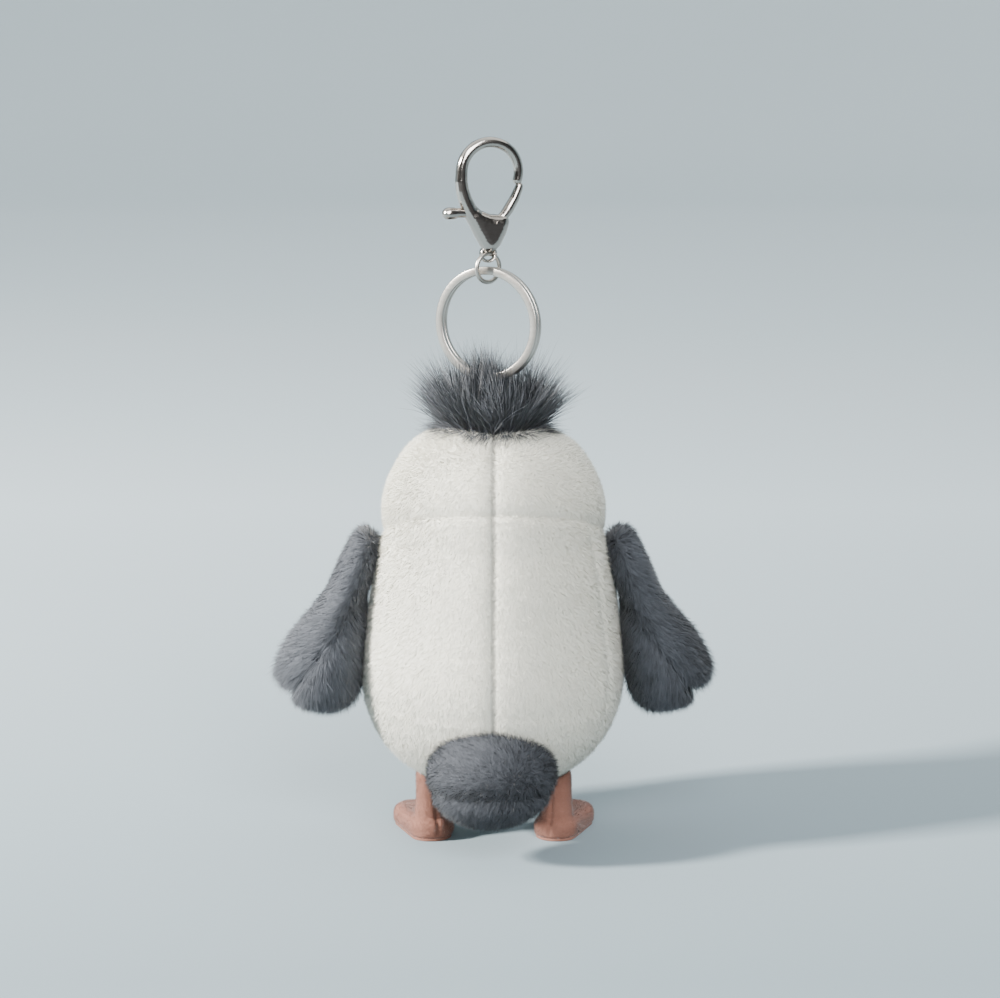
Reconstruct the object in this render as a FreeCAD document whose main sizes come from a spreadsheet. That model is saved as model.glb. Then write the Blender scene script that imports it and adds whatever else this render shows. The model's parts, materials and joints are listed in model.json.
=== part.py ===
"""Plush penguin bag charm: stuffed body, wings, tail and feet, with a split ring and a lobster clasp.

Millimetres. +Z is up, the penguin faces -Y and its left side is +X. The origin is on the floor,
under the centre of the whole object's box. All driving dimensions are cells of the sheet "Sizes".
"""
import FreeCAD, Part
import math
import os
import Sketcher

os.makedirs("parts", exist_ok=True)
doc = FreeCAD.newDocument("plush_penguin")
V = FreeCAD.Vector
Z_AXIS = V(0, 0, 1)
Y_AXIS = V(0, 1, 0)

# ---------------------------------------------------------------- driving dimensions
SIZES = [
    # plush body: height above the floor and half width at each station of the egg outline
    ("bottom_height", 12.6), ("seat_height", 16.8), ("seat_half", 17.5),
    ("hip_height", 26.5), ("hip_half", 29.3),
    ("belly_height", 44.0), ("belly_half", 35.2),
    ("chest_height", 62.0), ("chest_half", 33.5),
    ("shoulder_height", 75.0), ("shoulder_half", 31.7),
    ("neck_height", 85.0), ("neck_half", 29.9),
    ("cheek_height", 92.0), ("cheek_half", 29.6),
    ("brow_height", 101.0), ("brow_half", 25.9),
    ("crown_height", 108.4), ("crown_half", 19.2),
    ("cap_drop", 1.6), ("cap_half", 11.4), ("top_height", 113.2),
    ("cover_thickness", 1.2), ("fill_gap", 0.15), ("soft_gap", 0.35),
    ("neck_tilt", 17.0), ("side_seam_angle", 28.0), ("head_seam_angle", -20.0), ("bottom_panel_height", 18.5),
    # face
    ("eye_height", 93.0), ("eye_azimuth", 25.0), ("eye_radius", 3.3), ("eye_standoff", 0.3),
    ("shank_radius", 1.2), ("shank_length", 5.4), ("washer_radius", 3.8), ("washer_thickness", 0.9),
    ("washer_depth", 3.3), ("pin_gap", 0.1),
    ("beak_height", 90.0), ("beak_half_width", 6.4), ("beak_reach", 10.0),
    ("beak_upper_half", 4.4), ("beak_lower_half", 3.0),
    # crown patch and tuft
    ("patch_radius", 11.5), ("patch_thickness", 0.8), ("tuft_radius", 13.0), ("tuft_rise", 6.5),
    # hang loop
    ("loop_width", 4.0), ("loop_thickness", 0.9), ("loop_root_rise", 0.7),
    # legs and feet
    ("leg_spread", 16.8), ("leg_radius", 3.9), ("leg_set_back", 2.0), ("foot_turn", 20.0),
    ("foot_half_width", 5.8), ("foot_length", 13.2), ("foot_thickness", 5.4),
    ("foot_round", 2.2), ("sole_thickness", 0.8),
    # tail
    ("tail_half_width", 14.6), ("tail_half_depth", 11.2), ("tail_half_height", 12.0),
    ("tail_centre_height", 21.6), ("tail_set_back", 27.8), ("tail_seam_height", 18.2),
    # wings: half thickness and half chord at each station along the wing
    ("wing_root_gap", 1.0), ("wing_root_height", 82.0), ("wing_flare", 13.3), ("wing_length", 52.0),
    ("wing_root_half", 1.9), ("wing_root_chord", 5.0),
    ("wing_arm_half", 3.4), ("wing_arm_chord", 9.5),
    ("wing_mid_half", 5.0), ("wing_mid_chord", 12.0),
    ("wing_broad_half", 7.6), ("wing_broad_chord", 13.2),
    ("wing_end_half", 5.6), ("wing_end_chord", 9.0), ("wing_tip_half", 1.6), ("wing_tip_chord", 3.0),
    # split ring, jump ring
    ("hang_offset", 1.4), ("ring_radius", 15.0), ("ring_band", 2.1), ("coil_thickness", 1.45),
    ("coil_gap", 0.1), ("ring_rise", 9.7), ("ring_turn", -28.0),
    ("jump_radius", 3.7), ("jump_wire", 0.6), ("jump_lift", 0.7), ("jump_turn", 38.0),
    # lobster clasp, drawn in its own plane
    ("clasp_turn", 20.0), ("eye_hole_radius", 1.45), ("eye_boss_radius", 2.4), ("neck_width", 3.4),
    ("clasp_thickness", 4.6), ("body_rise", 9.4), ("body_top_half", 5.6), ("hook_radius", 7.75),
    ("hook_centre_rise", 21.1), ("hook_wire", 1.5), ("hook_tip_angle", -24.0),
    ("gate_thickness", 1.5), ("gate_gap", 0.15), ("gate_pin_radius", 0.6), ("gate_pin_rise", 8.0), ("gate_boss_radius", 2.0),
    ("gate_pin_offset", -2.2), ("gate_width", 2.2), ("knob_radius", 1.5), ("knob_reach", 9.8),
    ("knob_rise", 10.6), ("spring_wire", 0.18), ("spring_radius", 0.95), ("spring_recess", 1.3), ("spring_room", 0.6),
]

sheet = doc.addObject("Spreadsheet::Sheet", "Sizes")
for row, (alias, value) in enumerate(SIZES, start=1):
    sheet.set("A%d" % row, alias)
    sheet.set("B%d" % row, str(value))
    sheet.setAlias("B%d" % row, alias)

# places that follow from the driving dimensions
DERIVED = [
    ("cap_height", "=top_height - cap_drop"),
    ("ring_base_height", "=top_height + ring_rise"),
    ("loop_root_height", "=top_height + loop_root_rise"),
    ("wing_spread", "=shoulder_half + wing_root_gap"),
    ("wing_angle", "=wing_flare + 2 * (belly_half - shoulder_half)"),
    ("tail_reach", "=tail_set_back + tail_half_depth"),
    ("beak_face", "=cheek_half"),
    ("body_y", "=(beak_face + beak_reach - tail_reach) / 2"),
    ("eye_surface", "=cheek_half - 0.1"),
    ("loop_hole", "=sqrt(ring_band * ring_band + (2 * coil_thickness + coil_gap) * (2 * coil_thickness + coil_gap)) / 2 + 0.3"),
    ("loop_reach", "=loop_hole + loop_thickness + 0.9"),
    ("loop_drop", "=ring_base_height + ring_band / 2 - top_height + cover_thickness + 3"),
    ("ring_centre_height", "=ring_base_height + ring_radius"),
    ("ring_band_height", "=ring_base_height + 2 * ring_radius - ring_band / 2"),
    ("jump_centre_height", "=ring_band_height + jump_lift"),
    ("clasp_eye_height", "=jump_centre_height + jump_radius"),
]
for row, (alias, formula) in enumerate(DERIVED, start=len(SIZES) + 1):
    sheet.set("A%d" % row, alias)
    sheet.set("B%d" % row, formula)
    sheet.setAlias("B%d" % row, alias)
doc.recompute()


def size(alias):
    """A cell's value as a plain number."""
    return float(getattr(sheet, alias))


def cell(text):
    """An expression in which every word that is a cell's alias is read from the sheet."""
    names = sorted([alias for alias, _ in SIZES + DERIVED], key=len, reverse=True)
    words = []
    word = ""
    for letter in text + " ":
        if letter.isalnum() or letter == "_":
            word += letter
            continue
        words.append("Sizes." + word if word in names else word)
        words.append(letter)
        word = ""
    return "".join(words).strip()


# ---------------------------------------------------------------- helpers
def bound(kind, name, at=None, turn=None, **sizes):
    """A Part object whose sizes and place are bound to cells. turn is (axis, degrees cell)."""
    item = doc.addObject(kind, name)
    if turn:
        item.Placement.Rotation = FreeCAD.Rotation(turn[0], 1)
        item.setExpression("Placement.Rotation.Angle", cell(turn[1]))
    for key, text in zip("xyz", at or ()):
        item.setExpression("Placement.Base." + key, cell(text))
    for key, text in sizes.items():
        item.setExpression(key, cell(text))
    return item


def cut(name, base, tool):
    item = doc.addObject("Part::Cut", name)
    item.Base = base
    item.Tool = tool
    return item


def common(name, base, tool):
    item = doc.addObject("Part::Common", name)
    item.Base = base
    item.Tool = tool
    return item


def fuse(name, shapes):
    item = doc.addObject("Part::MultiFuse", name)
    item.Shapes = shapes
    return item


def block(name, low, high, turn=None):
    """A box between two corners given as expressions."""
    lengths = ["(%s) - (%s)" % (top, bottom) for bottom, top in zip(low, high)]
    return bound("Part::Box", name, low, turn, Length=lengths[0], Width=lengths[1], Height=lengths[2])


subparts = []


def keep(item, label):
    """Names a finished sub-part."""
    item.Label = label
    subparts.append(item)
    return item


# ---------------------------------------------------------------- the egg of head and body
STATIONS = ["seat", "hip", "belly", "chest", "shoulder", "neck", "cheek", "brow", "crown", "cap"]


def egg(name, growth):
    """The solid egg of head and body, with its outline moved outwards by growth along its normal."""
    spots = [V(0, 0, size("bottom_height"))]
    spots += [V(size(station + "_half"), 0, size(station + "_height")) for station in STATIONS]
    spots.append(V(0, 0, size("top_height")))
    outline = [spots[0] - Z_AXIS * growth]
    for before, spot, after in zip(spots, spots[1:], spots[2:]):
        along = (after - before).normalize()
        outline.append(spot + V(along.z, 0, -along.x) * growth)
    outline.append(spots[-1] + Z_AXIS * growth)
    curve = Part.BSplineCurve()
    curve.interpolate(Points=outline, InitialTangent=V(1, 0, 0), FinalTangent=V(-1, 0, 0))
    round_solid = Part.Solid(Part.Shell([curve.toShape().revolve(V(0, 0, 0), Z_AXIS, 360)]))
    item = doc.addObject("Part::Feature", name)
    item.Shape = round_solid
    item.setExpression("Placement.Base.y", cell("body_y"))
    return item


outer_egg = egg("outer_egg", 0)
inner_egg = egg("inner_egg", -size("cover_thickness"))
fill_egg = egg("fill_egg", -size("cover_thickness") - size("fill_gap"))
clear_egg = egg("clear_egg", size("soft_gap"))
cover = cut("cover", outer_egg, inner_egg)

REACH = "200"
neck_tool = bound("Part::Box", "above_neck", turn=(V(1, 0, 0), "neck_tilt"),
                  Length=REACH, Width=REACH, Height=REACH)


def place_on_tilted_plane(item, height, tilt_cell, centre_y):
    """Puts a 200 mm box with its lower face on a plane tilted about X through (0, centre_y, height)."""
    tilt = "%s" % tilt_cell
    item.setExpression("Placement.Base.x", "-100")
    item.setExpression("Placement.Base.y", cell("%s - 100 * cos(%s * 1deg)" % (centre_y, tilt)))
    item.setExpression("Placement.Base.z", cell("%s - 100 * sin(%s * 1deg)" % (height, tilt)))


place_on_tilted_plane(neck_tool, "neck_height", "neck_tilt", "body_y")
head_cover = common("head_cover", cover, neck_tool)
body_cover = cut("body_cover", cover, neck_tool)


def wedge(name, first, span):
    """A tall wedge about the body's axis, from the angle first through span degrees."""
    tool = bound("Part::Cylinder", name, ("0", "body_y", "0"), (Z_AXIS, first),
                 Radius=REACH, Height=REACH, Angle=span)
    return tool


# crown: a round patch of long-pile fabric closes the top of the head
patch_hole = bound("Part::Cylinder", "patch_hole", ("0", "body_y", "crown_height - 8"),
                   Radius="patch_radius", Height="20")
head_ring = cut("head_ring", head_cover, patch_hole)
SIDES = (("left", 1), ("right", -1))


def back_wedge(side, seam):
    """The space from a side seam round to the centre-back seam."""
    first = seam if side == "left" else "90"
    return wedge("%s_back_%s" % (seam, side), first, "90 - " + seam)


for side, sign in SIDES:
    keep(common("head_back_%s_shape" % side, head_ring, back_wedge(side, "head_seam_angle")), "head_back_" + side)
front_head = common("front_head", head_ring,
                    wedge("head_front", "180 - head_seam_angle", "180 + 2 * head_seam_angle"))
crown_patch = common("crown_patch_shape", head_cover, patch_hole)

# body: two back panels, the belly panel round the front, and the bottom panel
bottom_tool = block("bottom_tool", ("-100", "-100", "0"), ("100", "100", "bottom_panel_height"))
body_ring = cut("body_ring", body_cover, bottom_tool)
for side, sign in SIDES:
    keep(common("back_panel_%s_shape" % side, body_ring, back_wedge(side, "side_seam_angle")), "back_panel_" + side)
belly_wedge = wedge("belly_front", "180 - side_seam_angle", "180 + 2 * side_seam_angle")
keep(common("belly_panel_shape", body_ring, belly_wedge), "belly_panel")
keep(common("bottom_panel_shape", body_cover, bottom_tool), "bottom_panel")

# ---------------------------------------------------------------- crown patch and tuft
loop_slot = block("loop_slot",
                  ("hang_offset - loop_reach", "body_y - loop_reach", "0"),
                  ("hang_offset + loop_reach", "body_y + loop_reach", "ring_base_height + 8"))
keep(cut("crown_patch_shape", crown_patch, loop_slot), "crown_patch")

tuft_ball = bound("Part::Ellipsoid", "tuft_ball", ("0", "body_y", "top_height"),
                  Radius1="tuft_rise", Radius2="tuft_radius", Radius3="tuft_radius")
tuft_pile = cut("tuft_pile", tuft_ball, outer_egg)
tuft_band = bound("Part::Cylinder", "tuft_band", ("0", "body_y", "crown_height"),
                  Radius="tuft_radius", Height="20")
tuft_top = common("tuft_top", tuft_pile, tuft_band)
keep(cut("tuft_shape", tuft_top, loop_slot), "tuft")

# ---------------------------------------------------------------- face: eyes, washers, beak
face_holes = []
fill_holes = []
for side, sign in SIDES:
    # local frame: -Y points out of the face, the origin is on the cover's outer surface

    def eye_disc(name, depth, length, radius, side=side, sign=sign):
        """A round disc along the eye's axis: depth is measured inwards from the cover's surface."""
        disc = bound("Part::Cylinder", "%s_%s" % (name, side), Radius=radius, Height=length)
        outwards = V(math.sin(math.radians(sign * size("eye_azimuth"))),
                     -math.cos(math.radians(sign * size("eye_azimuth"))), 0)
        base = V(0, size("body_y"), size("eye_height")) + outwards * (size("eye_surface") - depth)
        disc.Placement = FreeCAD.Placement(base, FreeCAD.Rotation(Z_AXIS, outwards * -1))
        return disc, base, outwards

    shank, base, outwards = eye_disc("shank", -1 * size("eye_standoff"), "shank_length", "shank_radius")
    dome = bound("Part::Sphere", "dome_" + side, Radius="eye_radius", Angle1="0")
    dome.Placement = FreeCAD.Placement(base, FreeCAD.Rotation(Z_AXIS, outwards))
    keep(fuse("eye_%s_shape" % side, [dome, shank]), "eye_" + side)
    hole, _, _ = eye_disc("shank_hole", -1, "20", "shank_radius + pin_gap")
    face_holes.append(hole)
    disc, _, _ = eye_disc("washer_disc", size("washer_depth"), "washer_thickness", "washer_radius")
    keep(cut("eye_washer_%s_shape" % side, disc, hole), "eye_washer_" + side)
    pocket, _, _ = eye_disc("washer_pocket", 0, "washer_depth + washer_thickness + 2 * fill_gap",
                            "washer_radius + fill_gap")
    stem, _, _ = eye_disc("shank_pocket", 0, "shank_length + 2", "shank_radius + pin_gap")
    fill_holes += [pocket, stem]
keep(cut("face_panel_shape", front_head, fuse("face_holes", face_holes)), "face_panel")

for part, half, low in (("upper", "beak_upper_half", "0"), ("lower", "beak_lower_half", "-10")):
    ball = bound("Part::Ellipsoid", "beak_%s_ball" % part, ("0", "body_y - beak_face", "beak_height"),
                 Radius1=half, Radius2="beak_half_width", Radius3="beak_reach")
    slab = block("beak_%s_slab" % part, ("-20", "-100", "beak_height + (%s)" % low),
                 ("20", "100", "beak_height + (%s) + 10" % low))
    half_ball = common("beak_%s_half" % part, ball, slab)
    keep(cut("beak_%s_shape" % part, half_ball, outer_egg), "beak_" + part)

# ---------------------------------------------------------------- body stuffing
stuffing = cut("stuffing_round_washers", fill_egg, fuse("fill_holes", fill_holes))
keep(cut("body_stuffing_shape", stuffing, loop_slot), "body_stuffing")

# ---------------------------------------------------------------- legs, feet and soles
for side, sign in SIDES:
    spread = "%d * leg_spread" % sign
    set_back = "body_y + leg_set_back"
    leg_post = bound("Part::Cylinder", "leg_post_" + side, (spread, set_back, "foot_thickness"),
                     Radius="leg_radius", Height="30")
    below = common("leg_below_" + side, leg_post,
                   block("leg_room_" + side, ("-60", "-60", "0"), ("60", "60", "belly_height - 15")))
    keep(cut("leg_%s_shape" % side, below, outer_egg), "leg_" + side)

    def foot_outline(name, floor, height, inset):
        """Heel disc, toe disc and the straight web between them, along local -Y."""
        half = "foot_half_width - (%s)" % inset
        heel = bound("Part::Cylinder", name + "_heel", ("0", "0", floor), Radius=half, Height=height)
        toe = bound("Part::Cylinder", name + "_toe", ("0", "-1 * foot_length", floor), Radius=half, Height=height)
        web = block(name + "_web", ("-1 * (%s)" % half, "-1 * foot_length", floor),
                    (half, "0", "(%s) + (%s)" % (floor, height)))
        return heel, toe, web

    for name, floor, height, inset in (("foot", "sole_thickness", "foot_thickness - sole_thickness", "0"),
                                       ("sole", "0", "sole_thickness", "0.3")):
        tag = "%s_%s" % (name, side)
        solid = fuse(tag + "_shape", list(foot_outline(tag, floor, height, inset)))
        solid.Refine = True
        if name == "foot":
            rounded = doc.addObject("Part::Fillet", tag + "_rounded")
            rounded.Base = solid
            doc.recompute()
            top = size("foot_thickness") - 0.001
            edges = [i + 1 for i, edge in enumerate(solid.Shape.Edges)
                     if edge.BoundBox.ZMin > top]
            rounded.Edges = [(i, size("foot_round"), size("foot_round")) for i in edges]
            solid = rounded
        solid.Placement.Rotation = FreeCAD.Rotation(Z_AXIS, 1)
        solid.setExpression("Placement.Rotation.Angle", cell("%d * foot_turn" % sign))
        solid.setExpression("Placement.Base.x", cell(spread))
        solid.setExpression("Placement.Base.y", cell(set_back))
        keep(solid, tag)

# ---------------------------------------------------------------- tail
def tail_ball(name, inset):
    return bound("Part::Ellipsoid", name, ("0", "body_y + tail_set_back", "tail_centre_height"),
                 Radius1="tail_half_height - (%s)" % inset, Radius2="tail_half_width - (%s)" % inset,
                 Radius3="tail_half_depth - (%s)" % inset)


tail_cover = cut("tail_cover", cut("tail_skin", tail_ball("tail_outer", "0"),
                                   tail_ball("tail_inner", "cover_thickness")), clear_egg)
keep(cut("tail_stuffing_shape", tail_ball("tail_fill", "cover_thickness + fill_gap"), clear_egg), "tail_stuffing")
tail_tool = block("above_tail_seam", ("-100", "-100", "tail_seam_height"), ("100", "100", "200"))
keep(common("tail_upper_shape", tail_cover, tail_tool), "tail_upper_panel")
keep(cut("tail_lower_shape", tail_cover, tail_tool), "tail_lower_panel")

# ---------------------------------------------------------------- wings
WING_STATIONS = [("root", "0"), ("arm", "0.2"), ("mid", "0.45"), ("broad", "0.74"), ("end", "0.92"), ("tip", "1")]


def flipper(name, inset):
    """A wing drawn hanging straight down from its root, with its chord along Y."""
    rings = []
    for station, share in WING_STATIONS:
        drop = {"root": "-1 * (%s)" % inset, "tip": inset}.get(station, "0")
        ring = doc.addObject("Part::Ellipse", "%s_%s" % (name, station))
        ring.Placement.Rotation = FreeCAD.Rotation(Z_AXIS, 90)
        ring.setExpression("MajorRadius", cell("wing_%s_chord - (%s)" % (station, inset)))
        ring.setExpression("MinorRadius", cell("wing_%s_half - (%s)" % (station, inset)))
        ring.setExpression("Placement.Base.z", cell("-1 * wing_length * %s + (%s)" % (share, drop)))
        rings.append(ring)
    loft = doc.addObject("Part::Loft", name)
    loft.Sections = rings
    loft.Solid = True
    return loft


def hang_wing(item, sign, label):
    """Turns a finished wing piece outwards about its root and moves it to the shoulder."""
    item.Placement.Rotation = FreeCAD.Rotation(Y_AXIS, 1)
    item.setExpression("Placement.Rotation.Angle", cell("%d * wing_angle" % -sign))
    for key, text in zip("xyz", ("%d * wing_spread" % sign, "body_y", "wing_root_height")):
        item.setExpression("Placement.Base." + key, cell(text))
    keep(item, label)


for side, sign in SIDES:
    tag = "wing_" + side
    skin = cut(tag + "_skin", flipper(tag + "_outer", "0"), flipper(tag + "_inner", "cover_thickness"))
    outside = bound("Part::Box", tag + "_outside", ("%d" % (0 if sign > 0 else -100), "-100", "-100"),
                    Length="100", Width="200", Height="200")
    hang_wing(common(tag + "_outer_shape", skin, outside), sign, tag + "_outer_panel")
    hang_wing(cut(tag + "_inner_shape", skin, outside), sign, tag + "_inner_panel")
    hang_wing(flipper(tag + "_fill", "cover_thickness + fill_gap"), sign, tag + "_stuffing")

# ---------------------------------------------------------------- hang loop
# drawn in the ring's turned frame: X along the ring, Y across its flat, Z up


def turned(item, angle, height):
    """Places a hardware piece: its own frame stands over the body's axis, turned about Z."""
    item.Placement.Rotation = FreeCAD.Rotation(Z_AXIS, 1)
    item.setExpression("Placement.Rotation.Angle", cell(angle))
    for key, text in zip("xyz", ("hang_offset", "body_y", height)):
        item.setExpression("Placement.Base." + key, cell(text))


def strap(name, radius):
    """A tall stadium standing on the loop's root, with its round top about the ring's lowest band."""
    width = "loop_width"
    post = block(name + "_post", ("-1 * (%s) / 2" % width, "-1 * (%s)" % radius, "-1 * loop_drop"),
                 ("(%s) / 2" % width, radius, "0"))
    top = bound("Part::Cylinder", name + "_top", ("-1 * (%s) / 2" % width, "0", "0"), (Y_AXIS, "90"),
                Radius=radius, Height=width)
    return fuse(name, [post, top])


hang_loop = cut("hang_loop_shape", strap("strap_outer", "loop_hole + loop_thickness"), strap("strap_inner", "loop_hole"))
turned(hang_loop, "ring_turn", "ring_base_height + ring_band / 2")
keep(hang_loop, "hang_loop")


# ---------------------------------------------------------------- PartDesign helpers for the metal pieces
def new_body(label):
    body = doc.addObject("PartDesign::Body", label + "_body")
    body.Label = label
    return body


def sketch_on(body, role, name):
    """A sketch attached to one of the body's own origin planes."""
    sketch = body.newObject("Sketcher::SketchObject", name)
    plane = [item for item in body.Origin.OriginFeatures if item.Role == role][0]
    sketch.AttachmentSupport = [(plane, "")]
    sketch.MapMode = "FlatFace"
    return sketch


def drive(sketch, constraint, name, text):
    """Adds a dimension and binds it to the sheet."""
    index = sketch.addConstraint(constraint)
    sketch.renameConstraint(index, name)
    sketch.setExpression("Constraints." + name, cell(text))


def value(text):
    """The present value of an expression over the sheet's cells."""
    probe = sheet_probe
    probe.setExpression("Length", cell("(%s) + 1000" % text))
    probe.recompute()
    return float(probe.Length.Value) - 1000


sheet_probe = doc.addObject("Part::Box", "probe")


def draw_outline(sketch, points):
    """A closed outline of straight lines through points given as expression pairs."""
    spots = [V(value(x), value(y), 0) for x, y in points]
    count = len(spots)
    for index in range(count):
        sketch.addGeometry(Part.LineSegment(spots[index], spots[(index + 1) % count]))
    for index in range(count):
        sketch.addConstraint(Sketcher.Constraint("Coincident", index, 2, (index + 1) % count, 1))
    for index, (x, y) in enumerate(points):
        drive(sketch, Sketcher.Constraint("DistanceX", -1, 1, index, 1, spots[index].x), "across%d" % index, x)
        drive(sketch, Sketcher.Constraint("DistanceY", -1, 1, index, 1, spots[index].y), "up%d" % index, y)


def draw_circle(sketch, x, y, radius):
    """A circle whose centre and radius are expressions."""
    centre = V(value(x), value(y), 0)
    index = sketch.addGeometry(Part.Circle(centre, Z_AXIS, value(radius)))
    drive(sketch, Sketcher.Constraint("DistanceX", -1, 1, index, 3, centre.x), "across%d" % index, x)
    drive(sketch, Sketcher.Constraint("DistanceY", -1, 1, index, 3, centre.y), "up%d" % index, y)
    drive(sketch, Sketcher.Constraint("Radius", index, value(radius)), "radius%d" % index, radius)


def feature(body, kind, name, profile, **settings):
    item = body.newObject(kind, name)
    item.Profile = profile
    for key, setting in settings.items():
        if isinstance(setting, str) and key != "Type":
            item.setExpression(key, cell(setting))
        else:
            setattr(item, key, setting)
    return item


# ---------------------------------------------------------------- split ring: two flat coils
ring = new_body("split_ring")
section = sketch_on(ring, "YZ_Plane", "ring_section")
band_low = "ring_radius - ring_band"
half_stack = "coil_thickness + coil_gap / 2"
draw_outline(section, [("-1 * (%s)" % half_stack, band_low), (half_stack, band_low),
                       (half_stack, "ring_radius"), ("-1 * (%s)" % half_stack, "ring_radius")])
feature(ring, "PartDesign::Revolution", "ring_coils", section,
        ReferenceAxis=(section, ["H_Axis"]), Angle=360.0)
groove_section = sketch_on(ring, "YZ_Plane", "coil_gap_section")
draw_outline(groove_section, [("-1 * coil_gap / 2", "-1 * ring_radius - 1"), ("coil_gap / 2", "-1 * ring_radius - 1"),
                              ("coil_gap / 2", "-1 * (%s) + 1" % band_low), ("-1 * coil_gap / 2", "-1 * (%s) + 1" % band_low)])
feature(ring, "PartDesign::Groove", "coil_gap_cut", groove_section,
        ReferenceAxis=(groove_section, ["H_Axis"]), Angle=345.0)
doc.recompute()
turned(ring, "ring_turn", "ring_centre_height")
keep(ring, "split_ring")

# ---------------------------------------------------------------- jump ring
jump = new_body("jump_ring")
wire = sketch_on(jump, "YZ_Plane", "jump_wire_section")
draw_circle(wire, "0", "jump_radius", "jump_wire")
feature(jump, "PartDesign::Revolution", "jump_turned", wire, ReferenceAxis=(wire, ["H_Axis"]), Angle=360.0)
turned(jump, "jump_turn", "jump_centre_height")
keep(jump, "jump_ring")

# ---------------------------------------------------------------- clasp body with its hook
clasp = new_body("clasp_body")
boss = sketch_on(clasp, "YZ_Plane", "eye_boss_section")
draw_circle(boss, "0", "0", "eye_boss_radius")
feature(clasp, "PartDesign::Pad", "eye_boss", boss, Length="neck_width", Midplane=True)
trunk = sketch_on(clasp, "XZ_Plane", "trunk_outline")
HOOK_ROOT = "hook_radius - 1.6"
draw_outline(trunk, [("-1 * neck_width / 2", "0"), ("neck_width / 2", "0"),
                     ("neck_width / 2", "eye_boss_radius + 0.4"),
                     ("body_top_half", "body_rise - 1.6"), (HOOK_ROOT + " + 1.6", "body_rise + 4"),
                     (HOOK_ROOT + " - 1.4", "body_rise + 4"), ("body_top_half - 3.2", "body_rise"),
                     ("-1 * body_top_half + 2.6", "body_rise"), ("-1 * body_top_half", "body_rise - 1.6"),
                     ("-1 * neck_width / 2", "eye_boss_radius + 0.4")])
feature(clasp, "PartDesign::Pad", "trunk", trunk, Length="clasp_thickness", Midplane=True)

path = sketch_on(clasp, "XZ_Plane", "hook_path")
centre = V(0, value("hook_centre_rise"), 0)
start = math.radians(-12)
end = math.radians(180 - size("hook_tip_angle"))
arc = Part.Arc(Part.Circle(centre, Z_AXIS, size("hook_radius")), start, end)
path.addGeometry(arc)
drive(path, Sketcher.Constraint("DistanceY", -1, 1, 0, 3, centre.y), "rise", "hook_centre_rise")
path.addConstraint(Sketcher.Constraint("PointOnObject", 0, 3, -2))
drive(path, Sketcher.Constraint("Radius", 0, size("hook_radius")), "radius", "hook_radius")
foot_spot = V(value(HOOK_ROOT) - 0.2, value("body_rise") + 2.0, 0)
arc_start = centre + V(math.cos(start), math.sin(start), 0) * size("hook_radius")
path.addGeometry(Part.LineSegment(foot_spot, arc_start))
path.addConstraint(Sketcher.Constraint("Tangent", 1, 2, 0, 1))
drive(path, Sketcher.Constraint("DistanceY", -1, 1, 1, 1, foot_spot.y), "foot_up", "body_rise + 2")
drive(path, Sketcher.Constraint("DistanceX", -1, 1, 1, 1, foot_spot.x), "foot_across", HOOK_ROOT + " - 0.2")
tip_spot = centre + V(math.cos(end), math.sin(end), 0) * size("hook_radius")
drive(path, Sketcher.Constraint("DistanceY", -1, 1, 0, 2, tip_spot.y), "tip_up",
      "hook_centre_rise + hook_radius * sin(hook_tip_angle * 1deg)")
doc.recompute()
hook_section = sketch_on(clasp, "XY_Plane", "hook_section")
hook_section.AttachmentOffset = FreeCAD.Placement(V(0, 0, value("body_rise + 2")), FreeCAD.Rotation())
hook_section.setExpression("AttachmentOffset.Base.z", cell("body_rise + 2"))
draw_circle(hook_section, HOOK_ROOT + " - 0.2", "0", "hook_wire")
hook = feature(clasp, "PartDesign::AdditivePipe", "hook", hook_section)
hook.Spine = (path, [])
doc.recompute()

slot = sketch_on(clasp, "XZ_Plane", "lever_slot_outline")
draw_outline(slot, [("-1 * body_top_half - 2", "body_rise - 5"), ("body_top_half + 4", "body_rise - 5"),
                    ("body_top_half + 4", "body_rise + 3"), ("-1 * body_top_half - 2", "body_rise + 3")])
feature(clasp, "PartDesign::Pocket", "lever_slot", slot, Length="gate_thickness + 2 * gate_gap", Midplane=True)
bore = sketch_on(clasp, "XZ_Plane", "pin_bore")
draw_circle(bore, "gate_pin_offset", "gate_pin_rise", "gate_pin_radius")
feature(clasp, "PartDesign::Pocket", "pin_hole", bore, Length="20", Midplane=True)
eye_bore = sketch_on(clasp, "YZ_Plane", "eye_bore")
draw_circle(eye_bore, "0", "0", "eye_hole_radius")
feature(clasp, "PartDesign::Pocket", "eye_hole", eye_bore, Length="20", Midplane=True)
turned(clasp, "clasp_turn", "clasp_eye_height")
keep(clasp, "clasp_body")

# ---------------------------------------------------------------- gate lever, pin and spring
gate = new_body("gate_lever")
lever = sketch_on(gate, "XZ_Plane", "lever_outline")
TIP_X = "-1 * hook_radius * cos(hook_tip_angle * 1deg)"
TIP_Z = "hook_centre_rise + hook_radius * sin(hook_tip_angle * 1deg)"
draw_outline(lever, [("gate_pin_offset - 1.3", "gate_pin_rise - 1.2"), ("gate_pin_offset + 1.5", "gate_pin_rise - 1.5"),
                     ("knob_reach - 0.6", "knob_rise - 0.9"), ("knob_reach - 0.6", "knob_rise + 0.9"),
                     ("gate_pin_offset + 1.8", "gate_pin_rise + 1.7"),
                     (TIP_X + " + gate_width - 0.4", TIP_Z + " + 0.4"), (TIP_X + " - 0.5", TIP_Z + " - 1.1"),
                     ("gate_pin_offset - 2.6", "gate_pin_rise + 1.4")])
feature(gate, "PartDesign::Pad", "lever", lever, Length="gate_thickness", Midplane=True)
hub = sketch_on(gate, "XZ_Plane", "hub_outline")
draw_circle(hub, "gate_pin_offset", "gate_pin_rise", "gate_boss_radius")
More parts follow.
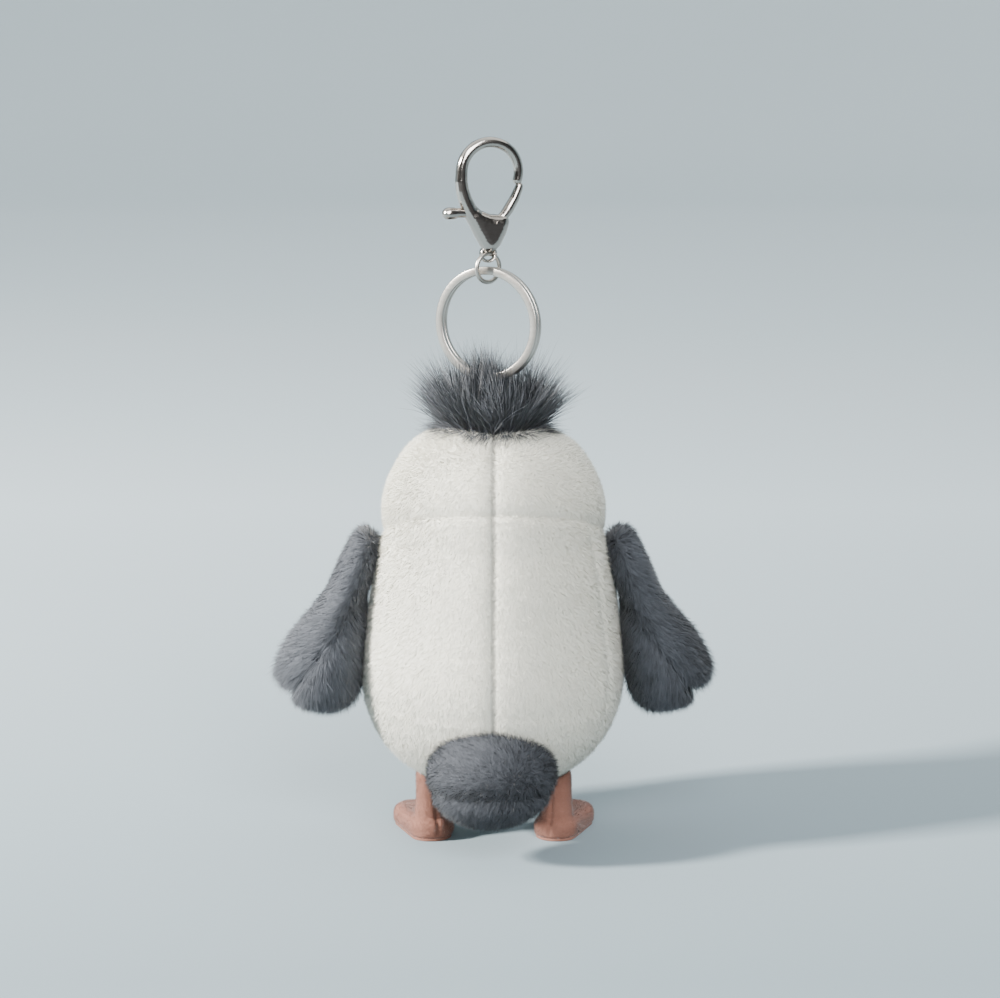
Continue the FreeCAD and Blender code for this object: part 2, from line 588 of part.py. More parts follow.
feature(gate, "PartDesign::Pad", "hub", hub, Length="gate_thickness", Midplane=True)
thumb = sketch_on(gate, "XZ_Plane", "knob_outline")
draw_circle(thumb, "knob_reach", "knob_rise", "knob_radius")
feature(gate, "PartDesign::Pad", "knob", thumb, Length="clasp_thickness - 0.6", Midplane=True)
gate_bore = sketch_on(gate, "XZ_Plane", "gate_bore")
draw_circle(gate_bore, "gate_pin_offset", "gate_pin_rise", "gate_pin_radius + 0.06")
feature(gate, "PartDesign::Pocket", "gate_hole", gate_bore, Length="20", Midplane=True)
recess = sketch_on(gate, "XZ_Plane", "spring_recess_outline")
recess.AttachmentOffset = FreeCAD.Placement(V(0, 0, value("gate_thickness / 2 - spring_room")), FreeCAD.Rotation())
recess.setExpression("AttachmentOffset.Base.z", cell("gate_thickness / 2 - spring_room"))
draw_circle(recess, "gate_pin_offset", "gate_pin_rise", "spring_recess")
feature(gate, "PartDesign::Pocket", "spring_recess", recess, Length="spring_room + 1", Reversed=True)
turned(gate, "clasp_turn", "clasp_eye_height")
keep(gate, "gate_lever")

spring = new_body("gate_spring")
coil = sketch_on(spring, "XY_Plane", "spring_wire_section")
coil.AttachmentOffset = FreeCAD.Placement(V(0, 0, value("gate_pin_rise")), FreeCAD.Rotation())
coil.setExpression("AttachmentOffset.Base.z", cell("gate_pin_rise"))
draw_circle(coil, "gate_pin_offset + spring_radius", "spring_wire - gate_thickness / 2 + 0.04", "spring_wire")
across = value("gate_pin_offset")
axis_line = coil.addGeometry(Part.LineSegment(V(across, 0, 0), V(across, 1, 0)), True)
coil.addConstraint(Sketcher.Constraint("Vertical", axis_line))
drive(coil, Sketcher.Constraint("DistanceX", -1, 1, axis_line, 1, across), "axis_across", "gate_pin_offset")
coil.addConstraint(Sketcher.Constraint("PointOnObject", axis_line, 1, -1))
coil.addConstraint(Sketcher.Constraint("Distance", axis_line, 1))
doc.recompute()
turns = feature(spring, "PartDesign::AdditiveHelix", "spring_turns", coil, ReferenceAxis=(coil, ["Axis0"]))
turns.Mode = 0
turns.Pitch = 0.38
turns.Height = 0.19
doc.recompute()
turned(spring, "clasp_turn", "clasp_eye_height")
keep(spring, "gate_spring")

pin = new_body("gate_pin")
pin_section = sketch_on(pin, "XZ_Plane", "pin_section")
draw_circle(pin_section, "gate_pin_offset", "gate_pin_rise", "gate_pin_radius")
feature(pin, "PartDesign::Pad", "pin", pin_section, Length="clasp_thickness", Midplane=True)
turned(pin, "clasp_turn", "clasp_eye_height")
keep(pin, "gate_pin")

doc.removeObject(sheet_probe.Name)
doc.recompute()

# ---------------------------------------------------------------- check and write
faults = []
for item in doc.Objects:
    if {"Invalid", "Error"} & set(item.State):
        faults.append("%s: %s" % (item.Name, item.State))
for item in subparts:
    shape = item.Shape
    if shape.isNull() or not shape.isValid() or not shape.Solids:
        faults.append("%s: no valid solid" % item.Label)
if faults:
    raise RuntimeError("; ".join(faults))

whole = Part.makeCompound([item.Shape for item in subparts])
for item in subparts:
    item.Shape.exportStep(os.path.join("parts", item.Label + ".step"))
    print("%-24s %2d solid(s) %10.1f mm3" % (item.Label, len(item.Shape.Solids), item.Shape.Volume))
print("box", whole.BoundBox)
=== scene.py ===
import json
import math

import bmesh
import bpy
import numpy as np
from bpy.props import FloatProperty, FloatVectorProperty, IntProperty, PointerProperty
from bpy.types import Operator, Panel, PropertyGroup
from mathutils import Matrix, Vector
from mathutils.bvhtree import BVHTree
from mathutils.kdtree import KDTree


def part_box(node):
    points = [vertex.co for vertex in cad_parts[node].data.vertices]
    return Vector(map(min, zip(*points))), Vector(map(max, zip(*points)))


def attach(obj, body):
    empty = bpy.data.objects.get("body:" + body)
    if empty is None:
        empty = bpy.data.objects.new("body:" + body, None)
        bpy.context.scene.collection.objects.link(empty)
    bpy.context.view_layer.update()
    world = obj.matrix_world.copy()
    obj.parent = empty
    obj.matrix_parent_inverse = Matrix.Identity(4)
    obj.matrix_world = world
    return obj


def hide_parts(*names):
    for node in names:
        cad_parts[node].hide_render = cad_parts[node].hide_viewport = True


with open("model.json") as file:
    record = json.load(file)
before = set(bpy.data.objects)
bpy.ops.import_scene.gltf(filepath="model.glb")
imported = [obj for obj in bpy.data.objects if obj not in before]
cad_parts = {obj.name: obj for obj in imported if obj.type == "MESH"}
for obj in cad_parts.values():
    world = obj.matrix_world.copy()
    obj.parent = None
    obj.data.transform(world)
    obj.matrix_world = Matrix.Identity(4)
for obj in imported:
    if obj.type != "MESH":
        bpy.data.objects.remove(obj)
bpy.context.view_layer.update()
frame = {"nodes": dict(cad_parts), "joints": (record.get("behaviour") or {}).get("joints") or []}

bl_info = {
    "name": "Plush penguin bag charm",
    "version": (1, 0, 0),
    "blender": (4, 5, 0),
    "location": "3D View > Sidebar > Penguin",
    "description": "Plush covers, pile, face, feet and hardware of a small penguin bag charm",
    "category": "Object",
}

MM = 0.001
UP = Vector((0.0, 0.0, 1.0))
CLOTH = 0.8 * MM


def middle(node):
    """The middle of a CAD node's box."""
    low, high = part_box(node)
    return (Vector(low) + Vector(high)) / 2


AXIS = Vector((0.0, middle("body_stuffing").y, 0.0))
EGG_CENTRE = Vector((0.0, AXIS.y, middle("body_stuffing").z))
JOINT = {joint["name"]: joint for joint in frame["joints"]}
PATCH_RADIUS = (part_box("crown_patch")[1][0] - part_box("crown_patch")[0][0]) / 2
SIDES = (("left", 1.0), ("right", -1.0))


# ------------------------------------------------------------------ sizes and colours
class PenguinSizes(PropertyGroup):
    cream_pile: FloatProperty(name="Cream pile", description="Length of the short cream pile",
                              default=1.9 * MM, unit="LENGTH")
    grey_pile: FloatProperty(name="Grey pile", description="Length of the grey pile on wings and tail",
                             default=4.2 * MM, unit="LENGTH")
    tuft_pile: FloatProperty(name="Tuft pile", description="Length of the long pile on the crown",
                             default=27.0 * MM, unit="LENGTH")
    hair_width: FloatProperty(name="Hair width", description="Width of one drawn hair at its root",
                              default=0.16 * MM, unit="LENGTH")
    hair_share: FloatProperty(name="Hair share", description="Share of the full number of hairs",
                              default=1.0)
    neck_tilt: FloatProperty(name="Neck tilt", description="Tilt of the neck seam",
                             default=math.radians(17.0), subtype="ANGLE")
    side_seam: FloatProperty(name="Side seam", description="Turn of the body's side seams towards the back",
                             default=math.radians(28.0), subtype="ANGLE")
    head_seam: FloatProperty(name="Head seam", description="Turn of the head's side seams towards the back",
                             default=math.radians(-20.0), subtype="ANGLE")
    cream: FloatVectorProperty(name="Cream", description="Cream plush", default=(0.84, 0.818, 0.72),
                               subtype="COLOR")
    grey: FloatVectorProperty(name="Grey", description="Grey plush", default=(0.050, 0.0535, 0.061),
                              subtype="COLOR")
    salmon: FloatVectorProperty(name="Salmon", description="Flocked feet and beak",
                                default=(0.205, 0.094, 0.068), subtype="COLOR")
    seed: IntProperty(name="Seed", description="Seed of every random draw", default=7)


def sizes():
    """The sizes and colours that the sidebar shows."""
    return bpy.context.scene.penguin_sizes


# ------------------------------------------------------------------ shader maths
class Wire:
    """A socket of a shader that takes part in Python sums."""

    def __init__(self, tree, socket):
        self.tree = tree
        self.socket = socket

    def sum_with(self, operation, first, second=None, third=None):
        node = self.tree.nodes.new("ShaderNodeMath")
        node.operation = operation
        for index, item in enumerate((first, second, third)):
            if isinstance(item, Wire):
                self.tree.links.new(item.socket, node.inputs[index])
            elif item is not None:
                node.inputs[index].default_value = item
        return Wire(self.tree, node.outputs[0])

    def __add__(self, other):
        return self.sum_with("ADD", self, other)

    def __radd__(self, other):
        return self.sum_with("ADD", other, self)

    def __sub__(self, other):
        return self.sum_with("SUBTRACT", self, other)

    def __rsub__(self, other):
        return self.sum_with("SUBTRACT", other, self)

    def __mul__(self, other):
        return self.sum_with("MULTIPLY", self, other)

    def __rmul__(self, other):
        return self.sum_with("MULTIPLY", other, self)

    def __truediv__(self, other):
        return self.sum_with("DIVIDE", self, other)

    def power(self, other):
        return self.sum_with("POWER", self, other)

    def clipped(self):
        return self.sum_with("MINIMUM", self.sum_with("MAXIMUM", self, 0.0), 1.0)


class Finish:
    """A material and the nodes that give it its colour, roughness and relief."""

    def __init__(self, name):
        self.material = bpy.data.materials.new(name)
        self.material.use_nodes = True
        self.tree = self.material.node_tree
        self.shader = self.tree.nodes["Principled BSDF"]

    def node(self, kind, settings=None, output=0, **values):
        """Adds a node: its settings first, then the values or links of its sockets."""
        item = self.tree.nodes.new(kind)
        for key, setting in (settings or {}).items():
            setattr(item, key, setting)
        for key, content in values.items():
            socket = item.inputs[key.replace("_", " ")]
            if isinstance(content, Wire):
                self.tree.links.new(content.socket, socket)
            else:
                socket.default_value = content
        return Wire(self.tree, item.outputs[output])

    def place(self):
        return self.node("ShaderNodeTexCoord", output=3)

    def noise(self, scale, detail=3.0, where=None, **more):
        return self.node("ShaderNodeTexNoise", Vector=where or self.place(), Scale=scale,
                         Detail=detail, **more)

    def ramp_along(self, axis, start, end):
        """0 before start, 1 after end, along an axis of the object."""
        split = self.tree.nodes.new("ShaderNodeSeparateXYZ")
        self.tree.links.new(self.place().socket, split.inputs[0])
        return ((Wire(self.tree, split.outputs["XYZ".index(axis.upper())]) - start) / (end - start)).clipped()

    def stretched(self, scale, where=None):
        return self.node("ShaderNodeMapping", Vector=where or self.place(), Scale=scale)

    def blend(self, factor, first, second):
        item = self.tree.nodes.new("ShaderNodeMix")
        item.data_type = "RGBA"
        for index, content in ((0, factor), (6, first), (7, second)):
            if isinstance(content, Wire):
                self.tree.links.new(content.socket, item.inputs[index])
            elif index == 0:
                item.inputs[index].default_value = content
            else:
                item.inputs[index].default_value = (*content, 1.0)
        return Wire(self.tree, item.outputs[2])

    def set(self, **values):
        for key, content in values.items():
            socket = self.shader.inputs[key.replace("_", " ")]
            if isinstance(content, Wire):
                self.tree.links.new(content.socket, socket)
            else:
                socket.default_value = content
        return self

    def relief(self, height, distance, strength=1.0):
        bump = self.node("ShaderNodeBump", Height=height, Distance=distance, Strength=strength)
        return self.set(Normal=bump)


def shade(colour, factor):
    return tuple(min(1.0, channel * factor) for channel in colour)


def plush_backing(name, colour):
    """The woven ground between the hairs: a little darker, mottled, very rough."""
    finish = Finish(name)
    mottle = finish.noise(420.0, 4.0)
    fibres = finish.noise(2600.0, 2.0)
    finish.set(Base_Color=finish.blend(mottle, shade(colour, 0.72), shade(colour, 0.98)),
               Roughness=0.95, Sheen_Weight=0.25, Sheen_Roughness=0.6, Specular_IOR_Level=0.1)
    finish.relief(fibres + mottle * 0.6, 0.35 * MM, 0.7)
    return finish.material


def plush_hair(name, colour, root_shade, tip_shade, patch_scale, patchiness, sheen=0.3, seam=0.0):
    """Pile: each hair is darker at its root and has a tint of its own; a noise lays lighter and darker
    patches over it.
    """
    finish = Finish(name)
    uv = finish.node("ShaderNodeUVMap", {"uv_map": "OFBake"})
    split = finish.tree.nodes.new("ShaderNodeSeparateXYZ")
    finish.tree.links.new(uv.socket, split.inputs[0])
    tint = Wire(finish.tree, split.outputs[0])
    along = Wire(finish.tree, split.outputs[1])
    patches = finish.noise(patch_scale, 3.0)
    light = (along * 0.75 + tint * 0.45 + (patches - 0.5) * patchiness - 0.1).clipped()
    tone = finish.blend(light, shade(colour, root_shade), shade(colour, tip_shade))
    # Painted shade: hairs within about a millimetre of the centre-back seam are blended towards a dark copy
    # of the colour, as strongly as the value seam says.
    if seam:
        split = finish.tree.nodes.new("ShaderNodeSeparateXYZ")
        finish.tree.links.new(finish.place().socket, split.inputs[0])
        across = Wire(finish.tree, split.outputs[0]) / (0.9 * MM)
        painted_seam_shade = (1.0 - across * across).clipped() * finish.ramp_along("y", 0.0, 0.01)
        tone = finish.blend(painted_seam_shade * seam, tone, shade(colour, 0.35))
    finish.set(Base_Color=tone, Roughness=0.82, Sheen_Weight=sheen, Sheen_Roughness=0.45,
               Specular_IOR_Level=0.15)
    return finish.material


# ------------------------------------------------------------------ mesh helpers
def deselect_all():
    if bpy.context.object and bpy.context.object.mode != "OBJECT":
        bpy.ops.object.mode_set(mode="OBJECT")
    bpy.ops.object.select_all(action="DESELECT")


def activate(obj):
    deselect_all()
    obj.select_set(True)
    bpy.context.view_layer.objects.active = obj


def object_from(mesh, name):
    """A scene object made from an edit mesh, which is freed."""
    data = bpy.data.meshes.new(name)
    mesh.to_mesh(data)
    mesh.free()
    obj = bpy.data.objects.new(name, data)
    bpy.context.scene.collection.objects.link(obj)
    return obj


def smooth_faces(obj):
    for polygon in obj.data.polygons:
        polygon.use_smooth = True
    return obj


def finish_piece(obj, name, body, material, replaced=()):
    """Names a piece and tells which body it rides on and the CAD nodes that it replaces."""
    obj.name = name
    obj.data.name = name
    obj.data.materials.clear()
    obj.data.materials.append(material)
    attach(obj, body)
    if replaced:
        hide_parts(*replaced)
    return obj


def apply_modifiers(obj):
    activate(obj)
    for modifier in list(obj.modifiers):
        bpy.ops.object.modifier_apply(modifier=modifier.name)


def surface_of(nodes):
    """A search tree over the meshes of some CAD nodes."""
    spots, faces = [], []
    for node in nodes:
        mesh = frame["nodes"][node].data
        start = len(spots)
        spots += [vertex.co.copy() for vertex in mesh.vertices]
        faces += [[start + index for index in polygon.vertices] for polygon in mesh.polygons]
    return BVHTree.FromPolygons(spots, faces)


def vertex_array(mesh):
    spots = np.empty(len(mesh.vertices) * 3)
    mesh.vertices.foreach_get("co", spots)
    return spots.reshape(-1, 3)


def normal_array(mesh):
    normals = np.empty(len(mesh.vertices) * 3)
    mesh.vertices.foreach_get("normal", normals)
    return normals.reshape(-1, 3)


def set_vertices(mesh, spots):
    mesh.vertices.foreach_set("co", np.asarray(spots, dtype=float).ravel())
    mesh.update()


def wrapped_ball(centre, nodes, segments, rings, turn=None, smooth=4):
    """A ball pulled onto the outside of some CAD nodes."""
    deselect_all()
    bpy.ops.mesh.primitive_uv_sphere_add(segments=segments, ring_count=rings, radius=1.0, location=(0, 0, 0))
    obj = bpy.context.object
    tree = surface_of(nodes)
    turn = turn or Matrix.Identity(3)
    reach = 0.2
    for vertex in obj.data.vertices:
        direction = (turn @ vertex.co).normalized()
        spot = tree.ray_cast(centre + direction * reach, -direction, reach)[0]
        vertex.co = spot if spot else centre + direction * 0.01
    activate(obj)
    bpy.ops.object.mode_set(mode="EDIT")
    bpy.ops.mesh.select_all(action="SELECT")
    if smooth:
        bpy.ops.mesh.vertices_smooth(factor=0.5, repeat=smooth)
    bpy.ops.mesh.normals_make_consistent(inside=False)
    bpy.ops.object.mode_set(mode="OBJECT")
    return obj


def lumps(spots, scale, seed):
    """A smooth random field from a few crossed waves, about -1 to 1."""
    draw = np.random.default_rng(seed)
    total = np.zeros(len(spots))
    for _ in range(9):
        direction = draw.normal(size=3)
        direction *= scale / np.linalg.norm(direction)
        total += np.sin(spots @ direction + draw.uniform(0, 2 * math.pi))
    return total / 3.0


def push(obj, amount):
    """Moves every vertex along its normal by its own amount."""
    set_vertices(obj.data, vertex_array(obj.data) + normal_array(obj.data) * amount[:, None])


def cut_along(obj, spot, normal):
    """Adds an edge loop where a plane crosses the mesh."""
    mesh = bmesh.new()
    mesh.from_mesh(obj.data)
    bmesh.ops.bisect_plane(mesh, geom=mesh.verts[:] + mesh.edges[:] + mesh.faces[:], dist=1e-6,
                           plane_co=spot, plane_no=normal)
    mesh.to_mesh(obj.data)
    mesh.free()
    obj.data.update()


def panel_of(obj, name, test):
    """A panel: the faces whose middle passes the test."""
    mesh = bmesh.new()
    mesh.from_mesh(obj.data)
    outside = [face for face in mesh.faces if not test(face.calc_center_median())]
    bmesh.ops.delete(mesh, geom=outside, context="FACES")
    return smooth_faces(object_from(mesh, name))


def thicken(panel):
    """Gives a panel the thickness of its cloth, inwards."""
    wall = panel.modifiers.new("cloth", "SOLIDIFY")
    wall.thickness = CLOTH
    wall.offset = -1.0
    apply_modifiers(panel)
    return panel


# ------------------------------------------------------------------ pile
def grow_pile(name, panel, count, length, width, comb, lift, seed, steps=1, jitter=0.35, curl=0.25,
              length_at=None, soft=0.75, locks=0, gather=0.5):
    """Hairs on a panel's outside. comb(spots, normals) gives the way the pile lies; lift is how far it
    stands up, 0 flat to 1 upright, or a function of the roots; each hair is a tapering ribbon of a few
    faces. The tips of neighbouring hairs draw together into locks by the share gather."""
    draw = np.random.default_rng(seed)
    mesh = panel.data
    mesh.calc_loop_triangles()
    corners = np.empty(len(mesh.loop_triangles) * 3, dtype=int)
    mesh.loop_triangles.foreach_get("vertices", corners)
    corners = corners.reshape(-1, 3)
    spots = vertex_array(mesh)
    normals = normal_array(mesh)
    first, second, third = (spots[corners[:, index]] for index in range(3))
    areas = np.linalg.norm(np.cross(second - first, third - first), axis=1) / 2
    pick = draw.choice(len(corners), size=count, p=areas / areas.sum())
    share = np.sqrt(draw.random(count))
    other = draw.random(count)
    weights = np.stack([1 - share, share * (1 - other), share * other], axis=1)[:, :, None]
    roots = (spots[corners[pick]] * weights).sum(axis=1)
    up = (normals[corners[pick]] * weights).sum(axis=1)
    up /= np.linalg.norm(up, axis=1)[:, None]

    def flat(vectors):
        return vectors - up * (vectors * up).sum(axis=1)[:, None]

    def unit(vectors):
        return vectors / np.maximum(np.linalg.norm(vectors, axis=1), 1e-9)[:, None]

    lie = unit(flat(comb(roots, up) + draw.normal(size=(count, 3)) * jitter))
    stand = lift(roots) if callable(lift) else lift
    stand = np.clip(stand + draw.normal(size=count) * 0.12, 0.05, 1.0)[:, None]
    way = unit(up * stand + lie * (1.0 - stand))
    long = length * (0.7 + 0.5 * draw.random(count))
    if length_at is not None:
        long = long * length_at(roots)
    side = unit(np.cross(way, unit(up + draw.normal(size=(count, 3)) * 0.5)))
    bend = (lie - up * 0.5) * curl + draw.normal(size=(count, 3)) * 0.08
    tips = (way + bend) * long[:, None]
    drawn = np.zeros_like(tips)
    if locks:
        heads = draw.choice(count, size=max(4, min(locks, count // 3)), replace=False)
        near = nearest(roots, roots[heads])
        drawn = roots[heads][near] + tips[heads][near] * (long / long[heads][near])[:, None] - roots - tips
        drawn *= gather * (0.6 + 0.6 * draw.random(count))[:, None]
    rows = []
    normals_out = []
    shading = unit(up * soft + way * (1 - soft) * 0.5 + draw.normal(size=(count, 3)) * 0.12)
    for step in range(steps + 1):
        along = step / steps
        middle_line = roots - up * 0.15 * MM + (way * along + bend * along * along) * long[:, None] \
            + drawn * along ** 1.6
        half = width * 0.5 * (1.0 - along) if steps == 1 else width * 0.5 * (1.0 - along ** 2)
        if step == steps:
            rows.append(middle_line[:, None, :])
        else:
            rows.append(np.stack([middle_line - side * half, middle_line + side * half], axis=1))
        normals_out.append(np.repeat(shading[:, None, :], rows[-1].shape[1], axis=1))
    hairs = np.concatenate(rows, axis=1)
    per_hair = hairs.shape[1]
    hair_normals = np.concatenate(normals_out, axis=1).reshape(-1, 3)
    base = np.arange(count)[:, None] * per_hair
    tris = []
    for step in range(steps):
        left, right = 2 * step, 2 * step + 1
        if step == steps - 1:
            tris.append(base + np.array([left, right, per_hair - 1]))
        else:
            tris.append(base + np.array([left, right, right + 2]))
            tris.append(base + np.array([left, right + 2, left + 2]))
    faces = np.stack(tris, axis=1).reshape(-1, 3)
    flat_spots = hairs.reshape(-1, 3)
    one, two, three = (flat_spots[faces[:, index]] for index in range(3))
    facing = (np.cross(two - one, three - one) * hair_normals[faces[:, 0]]).sum(axis=1) < 0
    faces[facing] = faces[facing][:, ::-1]
    data = bpy.data.meshes.new(name)
    data.vertices.add(len(flat_spots))
    data.vertices.foreach_set("co", flat_spots.ravel())
    data.loops.add(faces.size)
    data.loops.foreach_set("vertex_index", faces.ravel())
    data.polygons.add(len(faces))
    data.polygons.foreach_set("loop_start", np.arange(len(faces)) * 3)
    data.polygons.foreach_set("use_smooth", np.ones(len(faces), dtype=bool))
    data.update(calc_edges=True)
    tint = draw.random(count) * 0.94 + 0.02
    rung = np.array([step / steps for step in range(steps) for _ in range(2)] + [1.0])
    across = np.array([-0.01 if index % 2 == 0 else 0.01 for index in range(per_hair - 1)] + [0.0])
    rungs = np.repeat(rung[None, :] * 0.96 + 0.02, count, axis=0)
    uv = np.stack([tint[:, None] + across[None, :], rungs], axis=2)
    uv = uv.reshape(-1, 2)[faces.ravel()]
    layer = data.uv_layers.new(name="OFBake")
    layer.data.foreach_set("uv", uv.ravel())
    data.normals_split_custom_set_from_vertices(hair_normals.tolist())
    pile = bpy.data.objects.new(name, data)
    bpy.context.scene.collection.objects.link(pile)
    return pile


def nearest(spots, heads):
    """For every spot, which of the heads is nearest."""
    tree = KDTree(len(heads))
    for index, head in enumerate(heads):
        tree.insert(head, index)
    tree.balance()
    return np.array([tree.find(spot)[1] for spot in spots])


def hairs(count):
    return max(200, int(count * sizes().hair_share))


# ------------------------------------------------------------------ head and body
def neck_height():
    """Height of the neck seam on the body's axis."""
    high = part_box("back_panel_left")[1]
    return high[2] - (high[1] - AXIS.y) * 0.83 * math.tan(sizes().neck_tilt) - 1.2 * MM


def side_direction(sign, turn):
    """From the body's axis towards a side seam."""
    return Vector((sign * math.cos(turn), math.sin(turn), 0.0))


class PENGUIN_OT_covers(Operator):
    """Cream covers of head and body, each panel with its pile"""
    bl_idname = "penguin.covers"
    bl_label = "Head and body"

    def execute(self, context):
        values = sizes()
        shell = ["head_back_left", "head_back_right", "face_panel", "crown_patch",
                 "back_panel_left", "back_panel_right", "belly_panel", "bottom_panel"]
        skin = wrapped_ball(EGG_CENTRE, shell, 160, 128, smooth=0)
        self.round_off(skin)
        neck_spot = Vector((0, AXIS.y, neck_height()))
        neck_normal = Vector((0, -math.sin(values.neck_tilt), math.cos(values.neck_tilt)))
        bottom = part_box("bottom_panel")[1][2]
        side = side_direction(1.0, values.side_seam)
        temple = side_direction(1.0, values.head_seam)
        for spot, normal in ((neck_spot, neck_normal), (AXIS, Vector((1, 0, 0))),
                             (Vector((0, 0, bottom)), UP),
                             (AXIS, side.cross(UP)), (AXIS, Vector((-side.x, side.y, 0)).cross(UP)),
                             (AXIS, temple.cross(UP)), (AXIS, Vector((-temple.x, temple.y, 0)).cross(UP))):
            cut_along(skin, spot, normal)
        self.sew(skin, neck_spot, neck_normal, bottom)

        def above(spot):
            return (spot - neck_spot).dot(neck_normal) > 0

        def behind(spot, turn):
            return math.atan2(spot.y - AXIS.y, abs(spot.x)) > turn

        def in_patch(spot):
            return spot.z > EGG_CENTRE.z and math.hypot(spot.x, spot.y - AXIS.y) < PATCH_RADIUS

        backing = plush_backing("cream_backing", values.cream)
        # The last value is the strength of the painted shade along the centre-back seam.
        hair = plush_hair("cream_hair", values.cream, 0.84, 1.10, 260.0, 0.3, 0.2, 0.5)
        plans = [("face_panel", lambda s: above(s) and not behind(s, values.head_seam)
                  and not in_patch(s), 105000),
                 ("belly_panel", lambda s: not above(s) and s.z > bottom
                  and not behind(s, values.side_seam), 140000),
                 ("bottom_panel", lambda s: s.z < bottom, 26000)]
        for label, sign in SIDES:
            plans.append(("head_back_" + label, lambda s, k=sign: above(s) and behind(s, values.head_seam)
                          and s.x * k > 0 and not in_patch(s), 90000))
            plans.append(("back_panel_" + label, lambda s, k=sign: not above(s) and s.z > bottom
                          and behind(s, values.side_seam) and s.x * k > 0, 138000))
        for index, (node, test, count) in enumerate(plans):
            panel = panel_of(skin, node + "_cover", test)
            pile = grow_pile(node + "_pile", panel, hairs(count), values.cream_pile, values.hair_width,
                             self.comb, 0.62, values.seed + index, jitter=0.6)
            thicken(panel)
            finish_piece(panel, node + "_cover", "torso", backing, [node])
            finish_piece(pile, node + "_pile", "torso", hair)
        self.crown(skin, in_patch)
        fill_of(skin, "body_fill", "torso", "body_stuffing")
        return {"FINISHED"}

    @staticmethod
    def crown(skin, in_patch):
        """Round patch on the crown and the long tuft that grows from it."""
        values = sizes()
        patch = panel_of(skin, "crown_patch_cover", in_patch)

        def rim(places):
            return np.clip(np.hypot(places[:, 0], places[:, 1] - AXIS.y) / PATCH_RADIUS, 0, 1)

        def fan(places, normals):
            """Hairs lean outwards from the middle of the crown, more so at the rim."""
            way = places - np.array([0.0, AXIS.y, 0.0])
            way[:, 2] = 0
            way /= PATCH_RADIUS
            way[:, 0] += 0.25 * lumps(places, 500.0, 71) + 0.02
            way[:, 1] += 0.25 * lumps(places, 500.0, 72)
            return way

        def upright(places):
            return 0.99 - 0.21 * rim(places) ** 1.5

        def skirt(places):
            return 0.45 - 0.25 * rim(places)

        def ragged(places):
            """Longest in the middle, shorter at the rim, uneven all over."""
            return (1.06 - 0.40 * rim(places) ** 2) * (0.9 + 0.12 * lumps(places, 800.0, 74))

        hair = plush_hair("tuft_hair", shade(values.grey, 0.8), 0.4, 1.9, 300.0, 0.6, 0.1)
        layers = (("tuft_pile", 38000, 1.0, upright, ragged, 0.22, 420, 0.4),
                  ("tuft_stray_pile", 700, 1.0, upright, ragged, 0.45, 0, 0.0),
                  ("tuft_skirt_pile", 22000, 0.29, skirt, None, 0.3, 500, 0.35))
        for index, (name, count, share, lift, length_at, jitter, locks, gather) in enumerate(layers):
            pile = grow_pile(name, patch, hairs(count), values.tuft_pile * share, values.hair_width * 1.1,
                             fan, lift, values.seed + 80 + index, steps=3, jitter=jitter, curl=0.12,
                             length_at=length_at, soft=0.4, locks=locks, gather=gather)
            finish_piece(pile, name, "torso", hair, ["tuft"] if index == 0 else [])
        thicken(patch)
        finish_piece(patch, "crown_patch_cover", "torso",
                     plush_backing("crown_backing", shade(values.grey, 0.8)), ["crown_patch"])

    @staticmethod
    def round_off(skin):
        """Evens out the egg's outline from the CAD surface's small flats."""
        spots = vertex_array(skin.data)
        centre = np.array(EGG_CENTRE)
        away = spots - centre
        reach = np.linalg.norm(away, axis=1)
        slope = np.round(np.arcsin(np.clip(away[:, 2] / reach, -1, 1)), 4)
        order = np.unique(slope)
        mean = np.array([reach[slope == value].mean() for value in order])
        for _ in range(6):
            mean[1:-1] = mean[1:-1] * 0.5 + (mean[:-2] + mean[2:]) * 0.25
        set_vertices(skin.data, centre + away * (np.interp(slope, order, mean) / reach)[:, None])

    @staticmethod
    def comb(spots, normals):
        """The pile lies downwards, with gentle swirls."""
        way = np.zeros_like(spots)
        way[:, 2] = -1.0
        way[:, 0] += 0.35 * lumps(spots, 90.0, 3)
        way[:, 1] += 0.35 * lumps(spots, 90.0, 4)
        return way

    @staticmethod
    def sew(skin, neck_spot, neck_normal, bottom):
        """Draws the cover in along its seams and lets it swell a little between them."""
        values = sizes()
        spots = vertex_array(skin.data)
        x, y, z = spots[:, 0], spots[:, 1] - AXIS.y, spots[:, 2]
        turn = np.arctan2(y, np.abs(x))
        radius = np.hypot(x, y)
        neck = (spots - np.array(neck_spot)) @ np.array(neck_normal)

        def valley(distance, depth, width):
            return -depth * np.exp(-(distance / width) ** 2)

        amount = valley(neck, 0.8 * MM, 1.0 * MM) + valley(neck, 0.5 * MM, 5 * MM) - values.cream_pile * 0.62
        back = np.clip(y / (4 * MM), 0, 1)
        fade = np.clip((radius - 6 * MM) / (8 * MM), 0, 1)
        amount += (valley(x, 0.9 * MM, 0.8 * MM) + valley(x, 0.5 * MM, 3.6 * MM)) * back * fade
        below = np.clip(-neck / (3 * MM), 0, 1) * np.clip((z - bottom) / (2 * MM), 0, 1)
        amount += valley((turn - values.side_seam) * radius, 0.7 * MM, 1.2 * MM) * below
        temples = np.clip(neck / (3 * MM), 0, 1) * fade
        amount += valley((turn - values.head_seam) * radius, 0.5 * MM, 1.2 * MM) * temples
        amount += valley(z - bottom, 0.6 * MM, 1.2 * MM)
        amount += lumps(spots, 110.0, 11) * 0.16 * MM + lumps(spots, 45.0, 12) * 0.22 * MM
        push(skin, amount)


